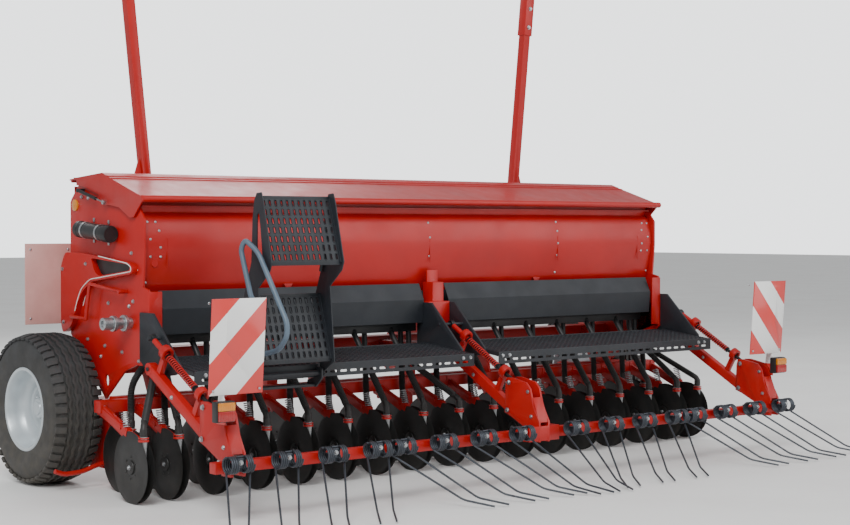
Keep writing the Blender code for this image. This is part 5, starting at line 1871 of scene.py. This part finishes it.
class Steps(Assembly):
    """The folded steps with their handrail."""

    def build(self) -> None:
        """Builds the side plates, treads, stay and handrail."""
        left, right = STEPS_X - STEPS_HALF, STEPS_X + STEPS_HALF
        y, z = STEPS_AXIS
        sides = [
            (y + 0.012, z - 0.007), (y + 0.012, z + 0.100), (-0.190, 0.960), (-0.255, 1.130),
            (-0.265, 1.330), (-0.280, 1.420), (-0.300, 1.452), (-0.335, 1.455), (-0.350, 1.420),
            (-0.420, 1.130), (-0.405, 1.090), (-0.310, 1.010), (-0.345, 0.650), (y - 0.022, z + 0.008),
            (y - 0.010, z - 0.010), (y, z - 0.014),
        ]
        hole = [
            (-0.300, 1.150), (-0.330, 1.140), (-0.345, 1.160), (-0.342, 1.200), (-0.322, 1.350),
            (-0.312, 1.362), (-0.302, 1.350),
        ]
        steel = Shape().plate(sides, left, left + 0.006, 0.0, (hole,))
        steel.plate(sides, right - 0.006, right, 0.001)
        steel.sweep([(left + 0.001, y, z), (right - 0.001, y, z)], 0.0138, 24)
        for top in TREAD_TOPS:
            self.tread_frame(steel, top)
        steel.sweep([(right - 0.010, -0.318, 1.400), (right - 0.016, -0.250, 1.080)], 0.008, 12)
        for ring in ((left - 0.002, *STEPS_AXIS), (right + 0.002, *STEPS_AXIS)):
            steel.disc(0.018, (-0.002, 0.002), ring)
        steel.finish("steps_frame", Body.STEPS, DARK, Slot.DARK, ("access_steps",))
        self.treads()
        path = [
            (left + 0.004, -0.330, 0.930), (left - 0.050, -0.330, 0.960), (left - 0.055, -0.250, 1.190),
            (left - 0.045, -0.270, 1.235), (left - 0.020, -0.340, 1.180), (left - 0.012, -0.560, 0.860),
            (left - 0.012, -0.560, 0.800), (left - 0.012, -0.500, 0.735), (left + 0.004, -0.330, 0.700),
        ]
        rail = Shape().sweep(rounded(path, 0.045, 6), 0.0125, 18)
        rail.finish("handrail", Body.STEPS, RAIL_BLUE, Slot.DARK)
        ends = (
            (left, -0.330, 0.930, -1), (left, -0.330, 0.700, -1), (right, -0.33, 1.28, 1),
            (right, -0.27, 0.82, 1),
        )
        bolts = [Spot(place, (side, 0, 0), (0, 1, 0)) for *place, side in ends]
        self.trees.bolts(bolts, "steps_bolts", Body.STEPS)

    def tread_axes(self, top: Point2) -> tuple[Vector, Vector, Vector]:
        """Finds where a folded tread lies.

        Args:
            top: Y and Z of its upper edge.

        Returns:
            The upper edge's middle, the way down the tread and the way out of its back.
        """
        down = Vector((0, -0.32 * math.sin(TREAD_LEAN), -0.306)).normalized()
        out = Vector((0, down.z, -down.y))
        return Vector((STEPS_X, *top)), down, out

    def tread_frame(self, shape: Shape, top: Point2) -> None:
        """Adds the folded edges round one tread.

        Args:
            shape: Shape that takes them.
            top: Y and Z of the tread's upper edge.
        """
        corner, down, _ = self.tread_axes(top)
        wide = STEPS_HALF - 0.0065
        for along in (0.004, 0.3165):
            middle = corner + down * along
            shape.bar((STEPS_X - wide, *middle.yz), (STEPS_X + wide, *middle.yz), 0.008, 0.026, 0.002)
        for x in (STEPS_X - wide + 0.004, STEPS_X + wide - 0.004):
            shape.bar((x, *corner.yz), (x, *(corner + down * 0.320).yz), 0.008, 0.024, 0.0015)

    def treads(self) -> None:
        """Builds the pierced sheets of both treads."""
        wide, long = 0.0330, 0.0440
        tile = pierced_tile(wide, long, (0.0058, 0.0150), 0.0030, 0.0030, 0.3)
        spots = []
        for top in TREAD_TOPS:
            corner, down, out = self.tread_axes(top)
            for i in range(12):
                for j in range(7):
                    place = corner + down * (0.006 + long * (j + 0.5)) + out * 0.006
                    place.x = STEPS_X + wide * (i - 5.5)
                    spots.append(Spot(place, out, (1, 0, 0)))
        self.trees.copies(tile, spots, "tread_sheets", Body.STEPS, DARK, 0.0, Slot.DARK)


class Harrow(Assembly):
    """The following harrow on its parallel arms."""

    def build(self) -> None:
        """Builds beams, tines, posts, arms, panels and lamps."""
        for side in (-1, 1):
            self.beam(side)
        self.tines()
        self.posts()
        self.arms()
        for side in (-1, 1):
            self.panel(side)
            self.lamp(side)

    def places(self) -> list[tuple[float, float]]:
        """Lists the double tines of both halves.

        Returns:
            X of each, and the angle by which its legs splay.
        """
        step = (TINE_END - TINE_INNER - TINE_GROUP_GAP) / 6
        outer = [TINE_END - step * k for k in range(4)]
        places = outer + [outer[-1] - TINE_GROUP_GAP - step * k for k in range(4)]
        turns = [33.0] * 4 + [-33.0] * 3 + [-15.0]
        half = list(zip(places, turns))
        return half + [(-x, -turn) for x, turn in half]

    def beam(self, side: int) -> None:
        """Builds the square beam of one half with its end cap.

        Args:
            side: -1 for the left.
        """
        half = HARROW_TUBE / 2
        beam = Shape().block(
            (0.0015, HARROW_Y - half, HARROW_Z - half), (HARROW_END, HARROW_Y + half, HARROW_Z + half),
            0.004,
        )
        beam.mirrored(side)
        word = side_name(side)
        beam.finish(f"harrow_beam_{word}", Body.HARROW, RED, Slot.RED, (f"harrow_section_{word}",))

    def tines(self) -> None:
        """Builds coils, legs and clamps of every double tine."""
        coils: list[Spot] = []
        bolts: list[Spot] = []
        legs, clamps = Shape(), Shape()
        for x, turn in self.places():
            for side in (-1, 1):
                low = x + (0.021 if side > 0 else -0.061)
                coils.append(Spot((low, COIL_Y, COIL_Z), (1, 0, 0), (0, 0, 1)))
                angle = math.radians(turn)
                ahead = Vector((math.sin(angle), -math.cos(angle), 0.0))
                top = Vector((x + side * 0.0615, COIL_Y + 0.004, COIL_Z - 0.0345))
                foot = Vector((x + side * 0.045, COIL_Y, 0.0))
                knee = Vector((*foot.xy, 0.036)) + ahead * 0.330
                tip = Vector((*foot.xy, 0.0125)) + ahead * 0.478
                legs.sweep(rounded([top, knee, tip], 0.022, 5), TINE_R, 10)
            clamps.sweep(
                [(x - 0.014, COIL_Y, COIL_Z + 0.034), (x + 0.014, COIL_Y, COIL_Z + 0.034)], TINE_R, 10
            )
            clamps.block(
                (x - 0.022, COIL_Y + 0.004, HARROW_Z - 0.016),
                (x + 0.022, HARROW_Y - 0.0252, HARROW_Z + 0.022), 0.003,
            )
            clamps.block(
                (x - 0.016, COIL_Y - 0.016, HARROW_Z + 0.004),
                (x + 0.016, COIL_Y + 0.010, HARROW_Z + 0.048), 0.005,
            )
            bolts.append(
                Spot((x, COIL_Y - 0.016, HARROW_Z + 0.028), (0, -1, 0), (1, 0, 0), (1.15, 1.15, 1.2))
            )
            bolts.append(Spot((x, HARROW_Y, HARROW_Z + 0.025), (0, 0, 1)))
        legs.finish("tine_legs", Body.HARROW, SPRING, Slot.BLACK)
        clamps.finish("tine_clamps", Body.HARROW, SPRING, Slot.BLACK)
        self.trees.coils(coils, "tine_coils", Body.HARROW, SPRING, 0.0350, 0.0050, 0.040, 3.75, Slot.BLACK)
        self.trees.bolts(bolts, "tine_bolts", Body.HARROW)

    def posts(self) -> None:
        """Builds the carrier posts with the heads of their pins."""
        for word in ARM_PLACES:
            refined(f"harrow_post_{word}", RED, Body.HARROW, 0.002)
        spots = []
        rise = (LOW_END[0] + LINK_RISE[0], LOW_END[1] + LINK_RISE[1])
        for x in ARM_PLACES.values():
            for side in (-1, 1):
                at = x + side * 0.0380
                for pivot in (LOW_END, rise):
                    spots.append(
                        Spot((at + side * 0.004, *pivot), (side, 0, 0), (0, 1, 0), (1.3, 1.3, 1.2))
                    )
                for place in ((-0.575, 0.455), (-0.600, 0.330), (-0.560, 0.262)):
                    spots.append(Spot((at, *place), (side, 0, 0), (0, 1, 0)))
        self.trees.bolts(spots, "post_bolts", Body.HARROW)

    def arms(self) -> None:
        """Builds the arms, the rods above them and the springs round the rods."""
        ahead = Vector((0, LOW_END[0] - LOW_PIVOT[0], LOW_END[1] - LOW_PIVOT[1]))
        start = Vector((0, LOW_PIVOT[0] + LINK_RISE[0], LOW_PIVOT[1] + LINK_RISE[1]))
        springs = []
        for word, x in ARM_PLACES.items():
            refined(f"harrow_arm_{word}", RED, Body.ARMS, 0.002)
            first = start + Vector((x, 0, 0))
            rod = Shape().sweep([first + ahead * 0.02, first + ahead * 0.98], ROD_R, 20)
            for place in (first, first + ahead):
                ring = [
                    (-0.011, 0.0096), (-0.011, 0.019), (-0.009, 0.021), (0.009, 0.021), (0.011, 0.019),
                    (0.011, 0.0096),
                ]
                rod.lathe(ring, place, (1, 0, 0), 28, closed=True)
            for share in (0.281, 0.741):
                place = first + ahead * share
                rod.disc(0.0165, (-0.002, 0.002), place, ahead)
            rod.finish(
                f"harrow_rod_{word}_body", Body.HARROW_RODS, DISC, Slot.STEEL, (f"harrow_rod_{word}",)
            )
            sleeve = Shape().sweep([first + ahead * 0.035, first + ahead * 0.274], SLEEVE_R, 20)
            sleeve.finish(f"rod_sleeve_{word}", Body.HARROW_RODS, RED, Slot.RED)
            springs.append(Spot(first + ahead * 0.288, ahead.normalized(), (1, 0, 0)))
        self.trees.coils(
            springs, "rod_springs", Body.HARROW_RODS, RED, 0.0142, 0.0034, ahead.length * 0.446, 17.0,
            Slot.RED,
        )
        spots = []
        for x in ARM_PLACES.values():
            for side in (-1, 1):
                spots.append(Spot((x + side * 0.0178, *self.along(0.42)), (side, 0, 0), (0, 1, 0)))
        self.trees.bolts(spots, "arm_side_bolts", Body.ARMS)
        for word in ARM_PLACES:
            refined(f"harrow_bracket_{word}", DARK, soften=0.002)

    def along(self, share: float) -> Point2:
        """Finds a point on the lower arm's middle line.

        Args:
            share: 0 at the front pivot and 1 at the rear one.

        Returns:
            Y and Z.
        """
        return tuple(a + (b - a) * share for a, b in zip(LOW_PIVOT, LOW_END))

    def panel(self, side: int) -> None:
        """Builds a leaning warning panel with its screws.

        Args:
            side: -1 for the left.
        """
        word = side_name(side)
        refined(f"warning_panel_{word}", PANEL, Body.HARROW, 0.0015)
        spots = []
        for x in (PANEL_OUTER - 0.020, PANEL_OUTER - 0.262):
            for share in (0.020, 0.403):
                y, z = HARROW_Y + 0.0055 + math.sin(
                    PANEL_LEAN
                ) * share, 0.560 + math.cos(PANEL_LEAN) * share
                spots.append(Spot((side * x, y, z), (0, -1, 0.08), (1, 0, 0), (0.7, 0.7, 0.7)))
        self.trees.domes(spots, f"panel_screws_{word}", Body.HARROW)

    def lamp(self, side: int) -> None:
        """Builds a lamp: black housing with two lenses.

        Args:
            side: -1 for the left.
        """
        word = side_name(side)
        inner, outer, low, high, front = 1.863, 1.958, 0.445, 0.537, HARROW_Y + 0.0077
        box = Shape().block((inner, front - 0.036, low), (outer, front, high), 0.006)
        box.block(
            (inner + 0.002, front - 0.041, low + 0.002), (outer - 0.002, front - 0.030, high - 0.002), 0.003
        )
        box.mirrored(side).finish(
            f"lamp_box_{word}", Body.HARROW, PLASTIC, Slot.PLASTIC, (f"rear_lamp_{word}",)
        )
        for name, bottom, top, look in (
            ("amber", low + 0.051, high - 0.005, AMBER), ("red", low + 0.005, low + 0.050, LENS)
        ):
            lens = Shape().block(
                (inner + 0.006, front - 0.052, bottom), (outer - 0.006, front - 0.034, top), 0.004
            )
            for k in range(7):
                x = inner + 0.014 + 0.0112 * k
                lens.block(
                    (x, front - 0.0528, bottom + 0.004), (x + 0.0085, front - 0.050, top - 0.004), 0.0008
                )
            lens.mirrored(side).finish(f"lamp_{name}_{word}", Body.HARROW, look, Slot.AMBER)


class Markers(Assembly):
    """The folding markers over the drill."""

    def build(self) -> None:
        """Builds arms, discs and the cross tube that carries them."""
        refined("marker_crossbar", RED, soften=0.003)
        for side, body, disc in (
            (-1, Body.MARKER_LEFT, Body.DISC_LEFT), (1, Body.MARKER_RIGHT, Body.DISC_RIGHT)
        ):
            word = side_name(side)
            refined(f"marker_arm_{word}", RED, body, 0.0025)
            self.bolts(side, body)
            self.disc(side, disc)

    def point(self, distance: float) -> Vector:
        """Finds a point on the right marker's middle line.

        Args:
            distance: How far from its pivot.

        Returns:
            The point.
        """
        foot = Vector((MARKER_X, MARKER_Y, MARKER_Z))
        return foot + distance * Vector((math.sin(MARKER_LEAN), 0.0, math.cos(MARKER_LEAN)))

    def bolts(self, side: int, body: Body) -> None:
        """Adds the bolts of the sleeve and the pivot.

        Args:
            side: -1 for the left.
            body: Body of the marker.
        """
        spots = []
        for distance in (1.14, 1.26, 1.40):
            place = self.point(distance)
            place.x *= side
            place.y -= 0.032
            spots.append(Spot(place, (0, -1, 0), (1, 0, 0), (1.3, 1.3, 1.3)))
        foot = self.point(0.0)
        spots.append(Spot((side * foot.x, foot.y - 0.025, foot.z), (0, -1, 0), (1, 0, 0), (2.2, 2.2, 1.8)))
        self.trees.bolts(spots, f"marker_bolts_{side_name(side)}", body)

    def disc(self, side: int, body: Body) -> None:
        """Builds the dished disc at the marker's end.

        Args:
            side: -1 for the left.
            body: Body of the disc.
        """
        rim = MARKER_DISC_R
        dish = [
            (0.014 + 0.024 * ((r - 0.035) / (rim - 0.035)) ** 1.6, r)
            for r in (0.035, 0.07, 0.11, 0.15, 0.18, rim)
        ]
        back = [(a + 0.0045, r) for a, r in reversed(dish)]
        profile = [
            (0.0, 0.0127), (0.0, 0.033), (0.002, 0.035), *dish, *back, (0.032, 0.030), (0.034, 0.028),
            (0.034, 0.0127),
        ]
        axis = (math.sin(MARKER_LEAN), 0.0, math.cos(MARKER_LEAN))
        disc = Shape().lathe(profile, self.point(MARKER_LONG + 0.006), axis, 72, closed=True)
        word = side_name(side)
        disc.mirrored(side).finish(f"disc_{word}", body, DISC, Slot.BLACK, (f"marker_disc_{word}",))


class Chassis(Assembly):
    """Main beam, headstock, stands, supports and guards."""

    def build(self) -> None:
        """Builds the pieces of the chassis."""
        for node in ("main_beam", "headstock_left", "headstock_right", "top_link_bracket", "mid_support"):
            refined(node, RED, soften=0.003)
        for side, body in ((-1, Body.STAND_LEFT), (1, Body.STAND_RIGHT)):
            word = side_name(side)
            refined(f"front_stand_{word}", RED, body, 0.002)
            refined(f"guard_panel_{word}", GUARD, soften=0.001)
            self.guard_screws(side)

    def guard_screws(self, side: int) -> None:
        """Adds screws near the corners of a guard panel's rear face.

        Args:
            side: -1 for the left.
        """
        low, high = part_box(f"guard_panel_{side_name(side)}")
        spots = []
        for x in (low.x + 0.03, high.x - 0.03):
            for z in (low.z + 0.03, high.z - 0.03):
                spots.append(Spot((x, low.y - SHIFT.y, z), (0, -1, 0), (1, 0, 0), (0.8, 0.8, 0.8)))
        self.trees.domes(spots, f"guard_screws_{side_name(side)}")


@dataclass
class Studio:
    """Floor, lights and camera."""

    def build(self) -> None:
        """Builds the studio."""
        mesh = bpy.data.meshes.new("floor")
        mesh.from_pydata([(-60, -60, 0), (60, -60, 0), (60, 60, 0), (-60, 60, 0)], [], [(0, 1, 2, 3)])
        mesh.materials.append(FLOOR.material())
        floor = bpy.data.objects.new("floor", mesh)
        bpy.context.scene.collection.objects.link(floor)
        self.light("key", (-7.5, -6.0, 8.5), 940, 5.0)
        self.light("fill", (6.5, -8.0, 5.0), 350, 7.0)
        self.light("back", (2.0, 8.0, 7.0), 380, 6.0)
        world = bpy.data.worlds.new("studio")
        world.use_nodes = True
        sky = world.node_tree.nodes["Background"]
        sky.inputs[0].default_value = linear("F4F6F8")
        # Lights the drill softly, while the camera sees a paler wall behind it.
        ray = add_node(world.node_tree, "ShaderNodeLightPath").outputs["Is Camera Ray"]
        strength = add_node(
            world.node_tree, "ShaderNodeMapRange", {"Value": ray, "To Min": 0.62, "To Max": 2.60}
        )
        world.node_tree.links.new(strength.outputs["Result"], sky.inputs["Strength"])
        bpy.context.scene.world = world
        self.camera()

    def light(self, name: str, at: Point3, power: float, size: float) -> None:
        """Adds a soft light that looks at the drill.

        Args:
            name: Name of the light.
            at: Its place.
            power: Watts.
            size: Width of its square.
        """
        data = bpy.data.lights.new(name, "AREA")
        data.energy, data.size = power, size
        lamp = bpy.data.objects.new(name, data)
        lamp.location = at
        lamp.rotation_euler = (Vector((0, 0, 0.9)) - Vector(at)).to_track_quat("-Z", "Y").to_euler()
        bpy.context.scene.collection.objects.link(lamp)

    def camera(self) -> None:
        """Adds the camera behind and to the left of the drill."""
        data = bpy.data.cameras.new("camera")
        data.lens, data.sensor_width, data.clip_end = 70.05, 36.0, 400.0
        camera = bpy.data.objects.new("camera", data)
        camera.location = (-5.841, -6.7695, 1.289)
        yaw, pitch = math.radians(39.95), math.radians(1.195)
        camera.rotation_euler = (math.pi / 2 - pitch, 0.0, -yaw)
        bpy.context.scene.collection.objects.link(camera)
        bpy.context.scene.camera = camera


def main() -> None:
    """Builds the drill and the studio."""
    logging.basicConfig(level=logging.INFO, format="%(name)s %(message)s")
    trees = Trees()
    for kind in (Chassis, Hopper, Drive, Wheels, Coulters, Platform, Steps, Harrow, Markers):
        kind(trees).build()
        LOG.info("%s done", kind.__name__)
    Studio().build()


if __name__ == "__main__":
    main()
